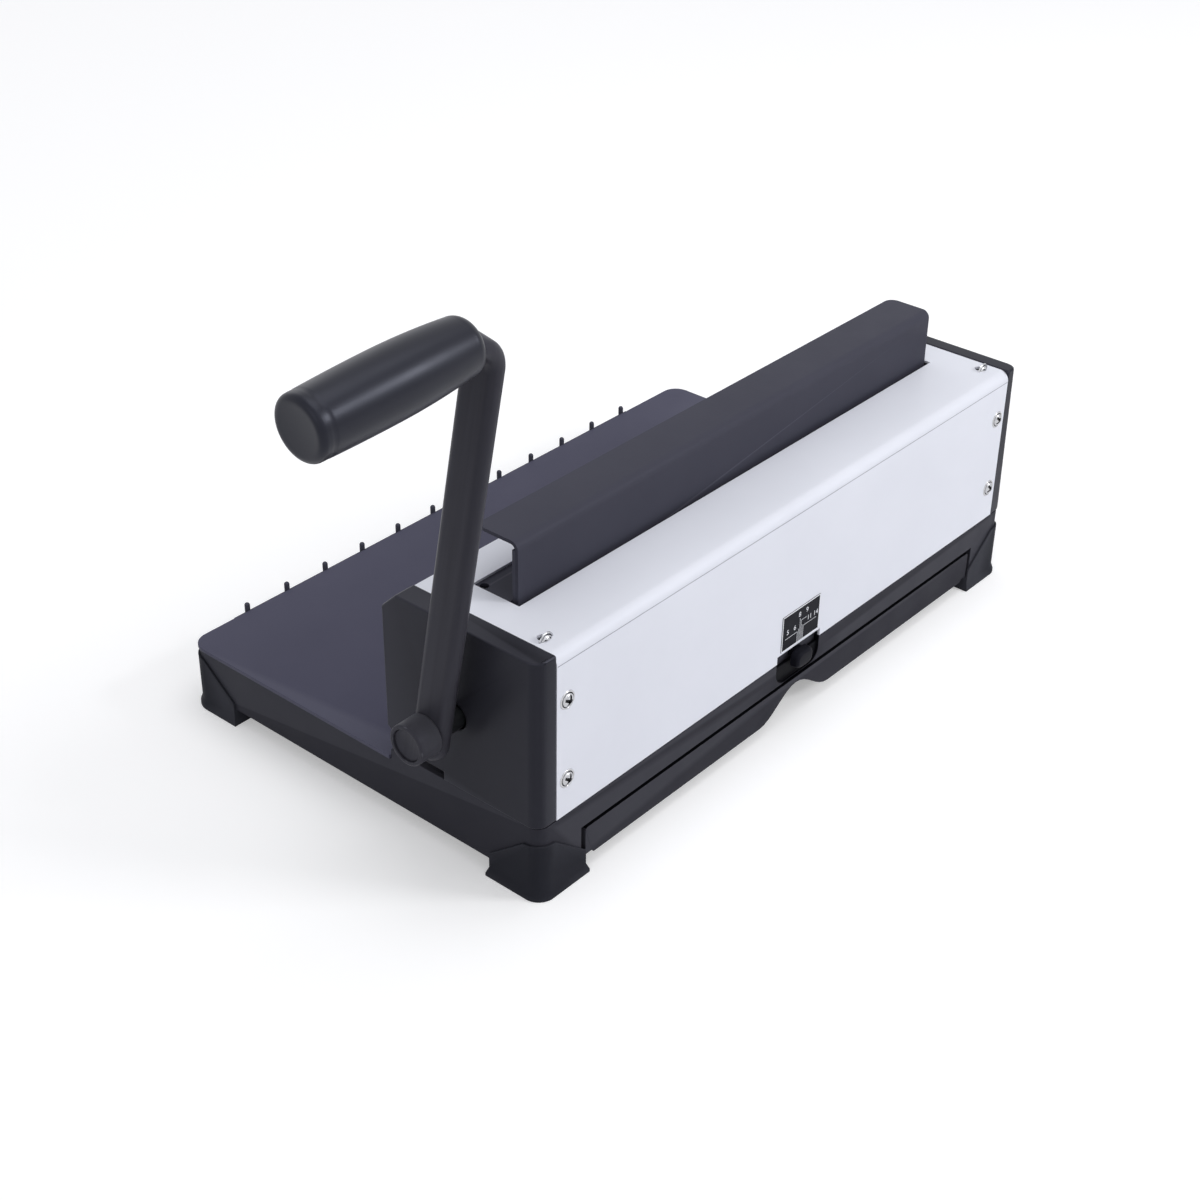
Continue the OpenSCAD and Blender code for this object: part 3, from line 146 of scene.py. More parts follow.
def new_material(name):
    """Empty node material: its node tree, and the output's surface socket to link to."""
    material = bpy.data.materials.new(name)
    material.use_nodes = True
    tree = material.node_tree
    tree.nodes.clear()
    output = tree.nodes.new("ShaderNodeOutputMaterial")
    return material, tree, output.inputs["Surface"]


def seen_directly(tree):
    """1 for camera, glossy and transmission rays, and 0 for the rays that light surfaces."""
    path = tree.nodes.new("ShaderNodeLightPath")
    total = path.outputs["Is Camera Ray"]
    for name in ("Is Glossy Ray", "Is Transmission Ray"):
        more = tree.nodes.new("ShaderNodeMath")
        more.operation = "MAXIMUM"
        tree.links.new(total, more.inputs[0])
        tree.links.new(path.outputs[name], more.inputs[1])
        total = more.outputs[0]
    return total


def make_floor():
    """Square sheet at Z = 0 whose material adds a glow for the camera and for mirrors."""
    mesh = bpy.data.meshes.new("floor")
    corners = np.array([[-1, -1, 0], [1, -1, 0], [1, 1, 0], [-1, 1, 0]]) * floor_half
    mesh.from_pydata(corners.tolist(), [], [[0, 1, 2, 3]])
    floor = add_object("floor", mesh)
    material, tree, surface = new_material("floor_sheet")
    matt = tree.nodes.new("ShaderNodeBsdfDiffuse")
    matt.inputs["Color"].default_value = floor_colour
    glow = tree.nodes.new("ShaderNodeEmission")
    strength = tree.nodes.new("ShaderNodeMath")
    strength.operation = "MULTIPLY"
    strength.inputs[1].default_value = floor_glow
    tree.links.new(seen_directly(tree), strength.inputs[0])
    tree.links.new(strength.outputs[0], glow.inputs["Strength"])
    both = tree.nodes.new("ShaderNodeAddShader")
    tree.links.new(matt.outputs[0], both.inputs[0])
    tree.links.new(glow.outputs[0], both.inputs[1])
    tree.links.new(both.outputs[0], surface)
    mesh.materials.append(material)


def make_world():
    """White to the camera and in mirrors, and a soft grey light for matt surfaces."""
    world = bpy.data.worlds.new("studio")
    world.use_nodes = True
    tree = world.node_tree
    tree.nodes.clear()
    output = tree.nodes.new("ShaderNodeOutputWorld")
    sky = tree.nodes.new("ShaderNodeBackground")
    sky.inputs["Color"].default_value = sky_colour
    strength = tree.nodes.new("ShaderNodeMapRange")
    strength.inputs["To Min"].default_value = world_light
    strength.inputs["To Max"].default_value = 1.0
    tree.links.new(seen_directly(tree), strength.inputs["Value"])
    tree.links.new(strength.outputs[0], sky.inputs["Strength"])
    tree.links.new(sky.outputs[0], output.inputs["Surface"])
    bpy.context.scene.world = world


make_floor()
make_world()

# %% Lamps
lamp_target = Vector((0.0, 0.0, 0.09))
LAMPS = {
    "rear_softbox": ((0.35, 1.9, 1.6), 1.0, 2.5),
    "left_rear_softbox": ((-0.95, 1.5, 1.15), 0.5, 13.0),
    "overhead_softbox": ((-0.3, 0.3, 2.3), 1.6, 14.0),
    "side_softbox": ((2.2, 0.5, 1.1), 1.2, 3.5),
    "front_softbox": ((-0.6, -2.2, 1.4), 1.6, 4.5),
}


def make_lamp(name, place, size, power):
    """Square area lamp that faces the machine."""
    data = bpy.data.lights.new(name, "AREA")
    data.size = size
    data.energy = power
    lamp = add_object(name, data)
    lamp.location = place
    toward = lamp_target - Vector(place)
    lamp.rotation_euler = toward.to_track_quat("-Z", "Y").to_euler()


for name, (place, size, power) in LAMPS.items():
    make_lamp(name, place, size, power)
print(len(LAMPS), "lamps")

# %% [markdown]
# ## Finishes
# A flat colour looks like a toy. Moulded plastic has a fine spark-eroded grain, powder coat has
# a soft orange-peel, rubber is dull with faint smears, and ground steel has fine parallel lines.
# One function builds them all: a principled shader whose colour drifts a little between two
# tones, whose gloss drifts too, and whose normals carry grain from a small noise. All of it
# reads Object coordinates, so the pattern stays on the piece when it moves.

# %% The finish builder
SHEEN_TINT = (0.78, 0.82, 1.0, 1.0)


def noise(tree, coordinates, scale, detail, stretch=(1, 1, 1), turn=0.0):
    """Noise between 0 and 1 at so many features a metre, turned about X and then stretched."""
    turned = tree.nodes.new("ShaderNodeMapping")
    turned.inputs["Rotation"].default_value = (turn, 0, 0)
    tree.links.new(coordinates, turned.inputs["Vector"])
    mapping = tree.nodes.new("ShaderNodeMapping")
    mapping.inputs["Scale"].default_value = stretch
    tree.links.new(turned.outputs[0], mapping.inputs["Vector"])
    cloud = tree.nodes.new("ShaderNodeTexNoise")
    cloud.inputs["Scale"].default_value = scale
    cloud.inputs["Detail"].default_value = detail
    tree.links.new(mapping.outputs[0], cloud.inputs["Vector"])
    return cloud.outputs["Fac"]


def map_range(tree, value, to_low, to_high, from_low=0.3, from_high=0.7):
    """Stretches a value from one range onto another, clamped at its ends."""
    node = tree.nodes.new("ShaderNodeMapRange")
    node.inputs["From Min"].default_value = from_low
    node.inputs["From Max"].default_value = from_high
    node.inputs["To Min"].default_value = to_low
    node.inputs["To Max"].default_value = to_high
    tree.links.new(value, node.inputs["Value"])
    return node.outputs[0]


def mix_colour(tree, share, first, second):
    """Mixes two colours, each a tuple or a socket."""
    node = tree.nodes.new("ShaderNodeMix")
    node.data_type = "RGBA"
    tree.links.new(share, node.inputs["Factor"])
    for socket, value in ((node.inputs[6], first), (node.inputs[7], second)):
        if isinstance(value, tuple):
            socket.default_value = (*value, 1)
        else:
            tree.links.new(value, socket)
    return node.outputs[2]


def finish(name, tone, deep_tone, gloss, grain=1400, grain_depth=0.00002, drift=18,
           stretch=(1, 1, 1), turn=0.0, metal=0.0, edge_highlight_tone=None, specular=0.5,
           painted_shade_tone=None):
    """Principled material: colour drifts from deep_tone to tone, gloss is (low, high) roughness.
    Convex edges are lightened towards edge_highlight_tone, a painted edge highlight. A piece that
    carries the attribute recess is darkened to painted_shade_tone where it is 1, a painted shade in
    gaps."""
    material, tree, surface = new_material(name)
    shader = tree.nodes.new("ShaderNodeBsdfPrincipled")
    coordinates = tree.nodes.new("ShaderNodeTexCoord").outputs["Object"]
    clouds = noise(tree, coordinates, drift, 4, stretch, turn)
    colour = mix_colour(tree, map_range(tree, clouds, 0, 1), deep_tone, tone)
    # Painted edge highlight: where pointiness shows a convex edge, the colour is lightened towards
    # the edge tone.
    if edge_highlight_tone:
        corner = tree.nodes.new("ShaderNodeNewGeometry").outputs["Pointiness"]
        painted_edge_highlight = map_range(tree, corner, 0, 0.8, 0.515, 0.56)
        colour = mix_colour(tree, painted_edge_highlight, colour, edge_highlight_tone)
    # Painted shade: the attribute recess darkens the colour in gaps and grooves where little light
    # gets in.
    if painted_shade_tone:
        depth = tree.nodes.new("ShaderNodeAttribute")
        depth.attribute_name = "recess"
        colour = mix_colour(tree, depth.outputs["Fac"], colour, painted_shade_tone)
    tree.links.new(colour, shader.inputs["Base Color"])
    smears = noise(tree, coordinates, drift * 3.1, 5, stretch, turn)
    tree.links.new(map_range(tree, smears, gloss[0], gloss[1]), shader.inputs["Roughness"])
    bump = tree.nodes.new("ShaderNodeBump")
    bump.inputs["Distance"].default_value = grain_depth
    bump.inputs["Strength"].default_value = 1.0
    tree.links.new(noise(tree, coordinates, grain, 3, stretch, turn), bump.inputs["Height"])
    tree.links.new(bump.outputs[0], shader.inputs["Normal"])
    shader.inputs["Metallic"].default_value = metal
    shader.inputs["Specular IOR Level"].default_value = specular
    if not metal:
        shader.inputs["Specular Tint"].default_value = SHEEN_TINT
    tree.links.new(shader.outputs[0], surface)
    return material


# %% The machine's finishes
ARM_LEAN = math.radians(10.6)
MATERIALS = {
    "base_plastic": finish("moulded_base_plastic", (0.0200, 0.0195, 0.0270),
                           (0.0160, 0.0156, 0.0215), (0.42, 0.54),
                           edge_highlight_tone=(0.055, 0.055, 0.067), specular=0.05,
                           painted_shade_tone=(0.003, 0.003, 0.004)),
    "cover_plastic": finish("moulded_cover_plastic", (0.0135, 0.0133, 0.0185),
                            (0.0105, 0.0104, 0.0145), (0.32, 0.42),
                            edge_highlight_tone=(0.060, 0.060, 0.076), specular=0.11),
    "table_paint": finish("slate_powder_coat", (0.073, 0.071, 0.109), (0.062, 0.061, 0.095),
                          (0.38, 0.46), grain=900, grain_depth=0.00003,
                          edge_highlight_tone=(0.10, 0.10, 0.14), specular=0.06),
    "white_paint": finish("white_powder_coat", (0.80, 0.815, 0.885), (0.77, 0.785, 0.855),
                          (0.36, 0.44), grain=700, grain_depth=0.00002, specular=0.25),
    "black_paint": finish("black_powder_coat", (0.043, 0.043, 0.060), (0.036, 0.036, 0.051),
                          (0.36, 0.46), grain=900, grain_depth=0.00003,
                          edge_highlight_tone=(0.085, 0.085, 0.11), specular=0.06),
    "lever_paint": finish("charcoal_lever_paint", (0.046, 0.0450, 0.056), (0.036, 0.0352, 0.044),
                          (0.32, 0.46), grain=500, drift=260, stretch=(1, 1, 0.04),
                          turn=ARM_LEAN, grain_depth=0.00004, edge_highlight_tone=(0.09, 0.09, 0.105),
                          specular=0.08),
    "grip_rubber": finish("soft_grip_rubber", (0.011, 0.011, 0.016), (0.009, 0.009, 0.0135),
                          (0.32, 0.38), grain=1800, grain_depth=0.00001, specular=0.3),
    "foot_rubber": finish("foot_rubber", (0.023, 0.0235, 0.030), (0.018, 0.0185, 0.024),
                          (0.50, 0.64), grain=1100, grain_depth=0.00004,
                          edge_highlight_tone=(0.045, 0.046, 0.056), specular=0.06),
    "steel": finish("zinc_plated_steel", (0.56, 0.57, 0.60), (0.50, 0.51, 0.54), (0.30, 0.44),
                    grain=900, stretch=(0.08, 1, 1), metal=1.0,
                    painted_shade_tone=(0.012, 0.012, 0.014)),
    "tool_steel": finish("hardened_steel", (0.12, 0.125, 0.13), (0.09, 0.095, 0.10),
                         (0.26, 0.38), grain=900, stretch=(0.05, 1, 1), metal=1.0),
    "bright_steel": finish("bright_steel", (0.60, 0.60, 0.61), (0.48, 0.48, 0.50),
                           (0.14, 0.24), grain=1200, metal=1.0,
                           painted_shade_tone=(0.012, 0.012, 0.014)),
    "bronze": finish("sintered_bronze", (0.34, 0.22, 0.10), (0.28, 0.17, 0.08), (0.34, 0.48),
                     grain=2200, metal=1.0),
    "label_black": finish("scale_plate", (0.009, 0.009, 0.013), (0.007, 0.007, 0.010),
                          (0.36, 0.44), grain=300, grain_depth=0.00001, specular=0.05),
}
slot_of = {part["node"]: part["material_slot"] for part in frame["record"]["subparts"]}
for node, part in nodes.items():
    part.data.materials.clear()
    part.data.materials.append(MATERIALS[slot_of[node]])
print(len(MATERIALS), "finishes on", len(nodes), "nodes")

# %% [markdown]
# ## Rounded edges
# No real edge is perfectly sharp: a moulding has a radius of about half a millimetre and sheet
# metal a little less, and that radius draws the thin line of light along each edge. The
# construction model's faces are loose triangles, so a copy is merged first, its flat faces are
# joined, and a Bevel modifier rounds what is left. The copy then stands for the node.

# %% Rounded copies
ROUNDED = {
    "base": 0.5, "table_plate": 0.35, "pin_rail": 0.5, "side_cover_right": 0.8,
    "side_cover_left": 0.8, "top_cover": 0.25, "closing_bar": 0.35, "slot_plate": 0.25,
    "press_strip": 0.2, "chip_drawer": 0.45, "foot_front_right": 0.6, "foot_front_left": 0.6,
    "foot_rear_right": 0.6, "foot_rear_left": 0.6, "side_plate_right": 0.2,
    "side_plate_left": 0.2, "punch_bar": 0.3, "lift_bracket_right": 0.3,
    "lift_bracket_left": 0.3, "stop_arm": 0.3, "stop_slide": 0.2,
}
SHARP_ANGLE = math.radians(28)
FLAT_ANGLE = math.radians(0.4)
SAME_PLACE = 2e-6
COVER_LEAN = 3.4 / 11.5
STRIP_GAP = 0.15 * MM


def body_of_node(node):
    """Name of the body that the node belongs to."""
    for body, members in frame["record"]["behaviour"]["bodies"].items():
        if node in members:
            return body
    return "root"


def left_cover_shape(places):
    """The left side cover leans in: its width of 11.5 mm shrinks evenly with height, by 3.4 mm
    at the top."""
    inner = places[:, 0].max()
    lean = COVER_LEAN * (places[:, 2] - places[:, 2].min()) / np.ptp(places[:, 2])
    places[:, 0] = inner + (places[:, 0] - inner) * (1 - lean)
    return places


def strip_shape(places):
    """The press strip is a little shorter at each end, so that it runs clear of the cams."""
    ends = places[:, 0].min() + STRIP_GAP, places[:, 0].max() - STRIP_GAP
    places[:, 0] = np.clip(places[:, 0], *ends)
    return places


def read_vectors(items, key):
    """Array of one vector for each item of a mesh, such as its vertices' places."""
    flat = np.zeros(len(items) * 3)
    items.foreach_get(key, flat)
    return flat.reshape(-1, 3)


def painted_shade_faces(node, mesh):
    """1 on the faces in a gap, where little light gets in, whose colour is painted dark as shade:
    the hollow round the size knob in the base, and the top of the drawer's front. 0 elsewhere."""
    centres = read_vectors(mesh.polygons, "center")
    normals = read_vectors(mesh.polygons, "normal")
    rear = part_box("base")[1][1]
    if node == "base":
        low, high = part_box("size_knob")
        middle = (low[0] + high[0]) / 2
        inside = np.abs(centres[:, 0] - middle) < 17 * MM
        inside &= (centres[:, 1] > rear - 3.2 * MM) & (centres[:, 1] < rear - 0.1 * MM)
        return inside & (centres[:, 2] > 25 * MM)
    if node == "chip_drawer":
        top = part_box("chip_drawer")[1][2]
        return (normals[:, 2] > 0.7) & (centres[:, 2] > top - 1.6 * MM)
    return np.zeros(len(centres), bool)


RESHAPED = {"side_cover_left": left_cover_shape, "press_strip": strip_shape}


def rounded_copy(node, width_mm):
    """Merged copy of a node with its sharp edges marked and rounded by a Bevel modifier."""
    loose = nodes[node].data.copy()
    if node in RESHAPED:
        places = RESHAPED[node](read_vectors(loose.vertices, "co"))
        loose.vertices.foreach_set("co", places.ravel())
    work = bmesh.new()
    work.from_mesh(loose)
    bpy.data.meshes.remove(loose)
    bmesh.ops.remove_doubles(work, verts=work.verts, dist=SAME_PLACE)
    bmesh.ops.dissolve_limit(work, angle_limit=FLAT_ANGLE, verts=work.verts,
                             edges=work.edges)
    for face in work.faces:
        face.smooth = True
    for edge in work.edges:
        edge.smooth = edge.calc_face_angle(0) < SHARP_ANGLE
    mesh = bpy.data.meshes.new(node + "_rounded")
    work.to_mesh(mesh)
    work.free()
    if "custom_normal" in mesh.attributes:
        mesh.attributes.remove(mesh.attributes["custom_normal"])
    # Painted shade: the faces in gaps get the attribute that darkens their colour.
    painted_shade_share = painted_shade_faces(node, mesh)
    if painted_shade_share.any():
        marks = mesh.attributes.new("recess", "FLOAT", "FACE")
        marks.data.foreach_set("value", painted_shade_share.astype(float))
    piece = add_object(node + "_rounded", mesh)
    mesh.materials.clear()
    mesh.materials.append(MATERIALS[slot_of[node]])
    bevel = piece.modifiers.new("edge_radius", "BEVEL")
    bevel.width = width_mm * MM
    bevel.segments = 3
    bevel.limit_method = "ANGLE"
    bevel.angle_limit = SHARP_ANGLE
    bevel.use_clamp_overlap = True
    bevel.harden_normals = True
    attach(piece, body_of_node(node))
    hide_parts(node)


for node, width in ROUNDED.items():
    rounded_copy(node, width)
print(len(ROUNDED), "nodes with rounded edges")

# %% [markdown]
# ## Surfaces from grids
# The turned and moulded pieces are worked out as grids of points: one parameter runs round the
# piece and the other along it. Whole arrays go into the mesh at once, and one face closes each
# end.

# %% Grid meshes


def grid_piece(name, grid, slot, body, replaced=(), recess=None):
    """Closed tube from a grid of shape (rows, columns, 3): columns wrap round, rows run along.
    recess holds a share for each point, 1 where the colour is darkened most, a painted shade in a
    groove."""
    rows, columns = grid.shape[:2]
    index = np.arange(rows * columns).reshape(rows, columns)
    nxt = np.roll(index, -1, axis=1)
    quads = np.stack([index[:-1], nxt[:-1], nxt[1:], index[1:]], axis=-1).reshape(-1, 4)
    faces = quads.tolist() + [index[0][::-1].tolist(), index[-1].tolist()]
    mesh = bpy.data.meshes.new(name)
    mesh.from_pydata(grid.reshape(-1, 3).tolist(), [], faces)
    # Painted shade: the share at each point darkens the colour through the finish.
    if recess is not None:
        marks = mesh.attributes.new("recess", "FLOAT", "POINT")
        marks.data.foreach_set("value", recess.ravel())
    work = bmesh.new()
    work.from_mesh(mesh)
    bmesh.ops.remove_doubles(work, verts=work.verts, dist=1e-7)
    bmesh.ops.recalc_face_normals(work, faces=work.faces)
    work.to_mesh(mesh)
    work.free()
    mesh.polygons.foreach_set("use_smooth", np.ones(len(mesh.polygons), bool))
    mesh.set_sharp_from_angle(angle=math.radians(40))
    mesh.materials.append(MATERIALS[slot])
    piece = add_object(name, mesh)
    if body:
        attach(piece, body)
    if replaced:
        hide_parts(*replaced)
    return piece


def arc(centre, radius, start, end, steps):
    """Points of a circular arc: centre + radius (cos t, sin t), t in degrees."""
    t = np.radians(np.linspace(start, end, steps))
    return np.stack([centre[0] + radius * np.cos(t), centre[1] + radius * np.sin(t)], axis=1)


def revolve(profile, centre, axis, side, steps=96):
    """Turns a profile of (distance along the axis, radius) about an axis through centre."""
    t = np.linspace(0, 2 * math.pi, steps, endpoint=False)
    axis, side = np.array(axis, float), np.array(side, float)
    other = np.cross(axis, side)
    ring = np.cos(t)[:, None] * side + np.sin(t)[:, None] * other
    along = profile[:, 0][:, None, None] * axis
    return np.array(centre) + along + profile[:, 1][:, None, None] * ring


# %% [markdown]
# ## The lever
# The lever is a flat oval bar, bent at the top into the grip's core. Its hub is a turned boss
# with a flat ring and a sunk disc, and the grip is a barrel of soft rubber, thickest near its
# middle, that droops a little towards its outer end. The lever leans, so the places along it are
# worked out in its own directions: across (X), along the arm, and at right angles to both.

# %% The lever's own directions
shaft_low, shaft_high = (np.array(corner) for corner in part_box("main_shaft"))
grip_low, grip_high = (np.array(corner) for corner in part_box("lever_grip"))
hub_low, hub_high = (np.array(corner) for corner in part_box("lever_hub"))
shaft_centre = (shaft_low + shaft_high) / 2
grip_centre = (grip_low + grip_high) / 2
arm_reach = math.hypot(*(grip_centre - shaft_centre)[1:])
arm_up = np.append(0, (grip_centre - shaft_centre)[1:] / arm_reach)
arm_side = np.cross(arm_up, [1, 0, 0])
print("arm", round(arm_reach / MM, 1), "mm, lean",
      round(math.degrees(math.atan2(arm_up[1], arm_up[2])), 1), "degrees")

# %% Grip
grip_length = grip_high[0] - grip_low[0] - 0.6 * MM
grip_radius = (grip_high[2] - grip_low[2]) / 2
grip_peak = 0.52
grip_droop = math.radians(3.0)
grip_along = math.cos(grip_droop) * np.array([1.0, 0, 0]) - math.sin(grip_droop) * arm_up
grip_middle = np.array([grip_low[0] + grip_peak * grip_length, grip_centre[1],
                        grip_centre[2] - 0.5 * MM])


def grip_profile(length, radius):
    """Barrel: radius falls off with the square of the distance from the thickest place, to
    82 % at the elbow and 94 % at the outer end. The end at the elbow is well rounded, and the
    outer end less, with a shallow groove before it."""
    start_share, end_share, peak_share = 0.82, 0.94, grip_peak
    edge = 2.6 * MM
    soft = 5.0 * MM
    inner = 1.6 * MM
    s = np.linspace(soft / length, 1 - edge / length, 80)
    run = np.where(s < peak_share, peak_share, 1 - peak_share)
    drop = np.where(s < peak_share, 1 - start_share, 1 - end_share)
    body_radius = radius * (1 - drop * ((s - peak_share) / run) ** 2)
    groove = 0.25 * MM * np.exp(-((s * length - (length - 5.2 * MM)) / (0.5 * MM)) ** 2)
    body = np.stack([s * length, body_radius - groove], axis=1)
    first = arc((soft, body_radius[0] - soft), soft, 180, 90, 18)
    last = arc((length - edge, body_radius[-1] - edge), edge, 90, 0, 12)
    dish_radius = body_radius[-1] - edge - 0.5 * MM
    r = np.linspace(1, 0, 16)
    dish = np.stack([length - inner * 0.25 * (1 - r ** 2), r * dish_radius], axis=1)
    start = np.array([[0, 0]])
    return np.concatenate([start, first, body[1:-1], last, dish])


grip_start = grip_middle - grip_peak * grip_length * grip_along
grid_piece("lever_grip_barrel",
           revolve(grip_profile(grip_length, grip_radius), grip_start, grip_along, arm_side),
           "grip_rubber", "lever", replaced=("lever_grip",))
print("grip", round(grip_length / MM, 1), "mm long, radius", round(grip_radius / MM, 2), "mm")

# %% Arm
arm_low = np.array(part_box("lever_arm")[0])
arm_thick = hub_low[0] - arm_low[0]
arm_centre_x = arm_low[0] + arm_thick / 2
elbow_radius = 13 * MM
arm_width = 18 * MM
arm_tail = 5.5 * MM


def stadium(thick, width, steps=20):
    """Flat oval outline: two half circles of the thickness joined by straight sides."""
    half = (width - thick) / 2
    end = arc((half, 0), thick / 2, -90, 90, steps)
    outline = np.concatenate([end, -end])
    return np.stack([outline[:, 1], outline[:, 0]], axis=1)


def arm_grid():
    """Stadium carried up the arm, round the elbow and into the grip. The elbow turns through
    a right angle and the grip's droop t, so its end lies R (1 + sin t) beside the arm and
    R cos t above the arm's straight part. The lower end closes like a half circle: width times
    sqrt(1 - u^2), with the thickness drawn in at the very end."""
    section = stadium(arm_thick, arm_width)
    u = np.cos(np.linspace(0, math.pi / 2, 14))
    tail_along = -arm_tail - u * arm_width / 2
    tail_wide = np.sqrt(np.clip(1 - u ** 2, 0, 1))
    tail_thick = (1 - u ** 8) ** 0.5
    beside = elbow_radius * (1 + math.sin(grip_droop))
    inside = (grip_middle[0] - arm_centre_x - beside) / math.cos(grip_droop)
    bend_start = (arm_reach + inside * math.sin(grip_droop)
                  - elbow_radius * math.cos(grip_droop))
    straight = np.linspace(-arm_tail, bend_start, 30)[1:]
    bend = np.linspace(0, math.pi / 2 + grip_droop, 26)[1:]
    stub = np.linspace(0, grip_length * 0.6, 6)[1:]
    rows = []
    along = np.concatenate([tail_along, straight])
    wide = np.concatenate([tail_wide, np.ones(len(straight))])
    thick = np.concatenate([tail_thick, np.ones(len(straight))])
    base = np.array([arm_centre_x, shaft_centre[1], shaft_centre[2]])
    x = np.array([1.0, 0, 0])
    rows.append(base + along[:, None, None] * arm_up
                + (thick[:, None] * section[:, 0])[..., None] * x
                + (wide[:, None] * section[:, 1])[..., None] * arm_side)
    pivot = base + bend_start * arm_up + elbow_radius * x
    out = -np.cos(bend)[:, None] * x + np.sin(bend)[:, None] * arm_up
    rows.append(pivot + (elbow_radius - section[:, 0])[None, :, None] * out[:, None, :]
                + section[:, 1][None, :, None] * arm_side)
    end = grip_middle - inside * grip_along
    outer = math.sin(grip_droop) * x + math.cos(grip_droop) * arm_up
    rows.append(end + stub[:, None, None] * grip_along - section[:, 0][None, :, None] * outer
                + section[:, 1][None, :, None] * arm_side)
    return np.concatenate(rows)


grid_piece("lever_arm_bar", arm_grid(), "lever_paint", "lever", replaced=("lever_arm",))
print("arm", round(arm_thick / MM, 1), "by", round(arm_width / MM, 1), "mm")

# %% Hub
hub_length = hub_high[0] - hub_low[0]
hub_radius = (hub_high[2] - hub_low[2]) / 2
disc_low, disc_high = (np.array(corner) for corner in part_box("hub_cap"))


def hub_profile(length, radius):
    """Turned boss: rounded outer edge, a flat ring and the wall of its recess."""
    edge, lip, chamfer = 0.9 * MM, 0.3 * MM, 0.2 * MM
    recess_radius = (disc_high[2] - disc_low[2]) / 2 + 0.05 * MM
    recess_floor = disc_low[0] - hub_low[0]
    outer = arc((length - edge, radius - edge), edge, 90, 0, 10)
    inner = arc((length - lip, recess_radius + lip), lip, 0, -90, 6)
    bottom = [[recess_floor, recess_radius], [recess_floor, 0]]
    back = [[0, 0], [0, radius - chamfer], [chamfer, radius]]
    return np.concatenate([back, outer, inner, bottom])


def disc_profile(thick, radius):
    """Disc with a softly rounded edge and a slight dish."""
    edge = 0.5 * MM
    rim = arc((thick - edge, radius - edge), edge, 90, 0, 8)
    r = np.linspace(1, 0, 12)[1:]
    dish = np.stack([thick - 0.6 * MM * (1 - r ** 2), r * (radius - edge)], axis=1)
    return np.concatenate([[[0, 0], [0, radius]], rim, dish])


hub_axis_place = [hub_low[0], shaft_centre[1], shaft_centre[2]]
grid_piece("lever_hub_boss", revolve(hub_profile(hub_length, hub_radius), hub_axis_place,
                                     [1, 0, 0], [0, 0, 1]),
           "lever_paint", "lever", replaced=("lever_hub",))
disc_place = [disc_low[0], shaft_centre[1], shaft_centre[2]]
grid_piece("lever_hub_disc",
           revolve(disc_profile(disc_high[0] - disc_low[0], (disc_high[2] - disc_low[2]) / 2),
                   disc_place, [1, 0, 0], [0, 0, 1]),
           "lever_paint", "lever", replaced=("hub_cap",))
print("hub", round(hub_length / MM, 1), "mm long, radius", round(hub_radius / MM, 1), "mm")

# %% [markdown]
# ## Size knob
# A small rounded knob slides along its window at the rear and sets the wire size. It is shaped
# like a bar of soap: each section across its depth is a superellipse, |x/a|^n + |z/b|^n = 1,
# which lies between an ellipse and a rectangle. The stem behind it is the same tube, narrower.

# %% Knob
knob_low, knob_high = (np.array(corner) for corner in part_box("size_knob"))
rear_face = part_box("base")[1][1]
knob_z, knob_half_w, knob_half_h = 35.3 * MM, 6.2 * MM, 4.3 * MM
stem_z, stem_half_w, stem_half_h = 37.1 * MM, 3.8 * MM, 2.3 * MM
knob_round = 1.6 * MM
knob_power = 3.2


def superellipse(half_width, half_height, power, points=72):
    """Outline of a superellipse: (a c, b s), where c and s are the cosine and sine of an even
    angle, raised to 2/n with their signs kept."""
    t = np.linspace(0, 2 * math.pi, points, endpoint=False)
    c, s = np.cos(t), np.sin(t)
    return np.stack([half_width * np.sign(c) * np.abs(c) ** (2 / power),
                     half_height * np.sign(s) * np.abs(s) ** (2 / power)], axis=1)


def knob_grid():
    """Rows of sections from the stem's inner end to the knob's face, whose edge is a quarter
    of a circle in depth."""
    middle = (knob_low[0] + knob_high[0]) / 2
    back = rear_face + 0.15 * MM
    stem = (stem_half_w, stem_half_h, stem_z)
    rows = [(knob_low[1], *stem), (back, *stem),
            (back, knob_half_w + 0.2 * MM, knob_half_h + 0.1 * MM, knob_z),
            (back + 0.15 * MM, knob_half_w + 0.4 * MM, knob_half_h + 0.3 * MM, knob_z)]
    for t in np.radians(np.linspace(0, 90, 10)):
        lost = knob_round * (1 - math.cos(t))
        rows.append((knob_high[1] - knob_round * (1 - math.sin(t)), knob_half_w - lost,
                     knob_half_h - lost, knob_z))
    grid = []
    for y, half_width, half_height, z in rows:
        outline = superellipse(half_width, half_height, knob_power)
        grid.append(np.stack([middle + outline[:, 0], np.full(len(outline), y),
                              z + outline[:, 1]], axis=1))
    return np.array(grid)


grid_piece("size_knob_soap", knob_grid(), "label_black", body_of_node("size_knob"),
           replaced=("size_knob",))
print("knob", round(2 * knob_half_w / MM, 1), "by", round(2 * knob_half_h / MM, 1), "mm")
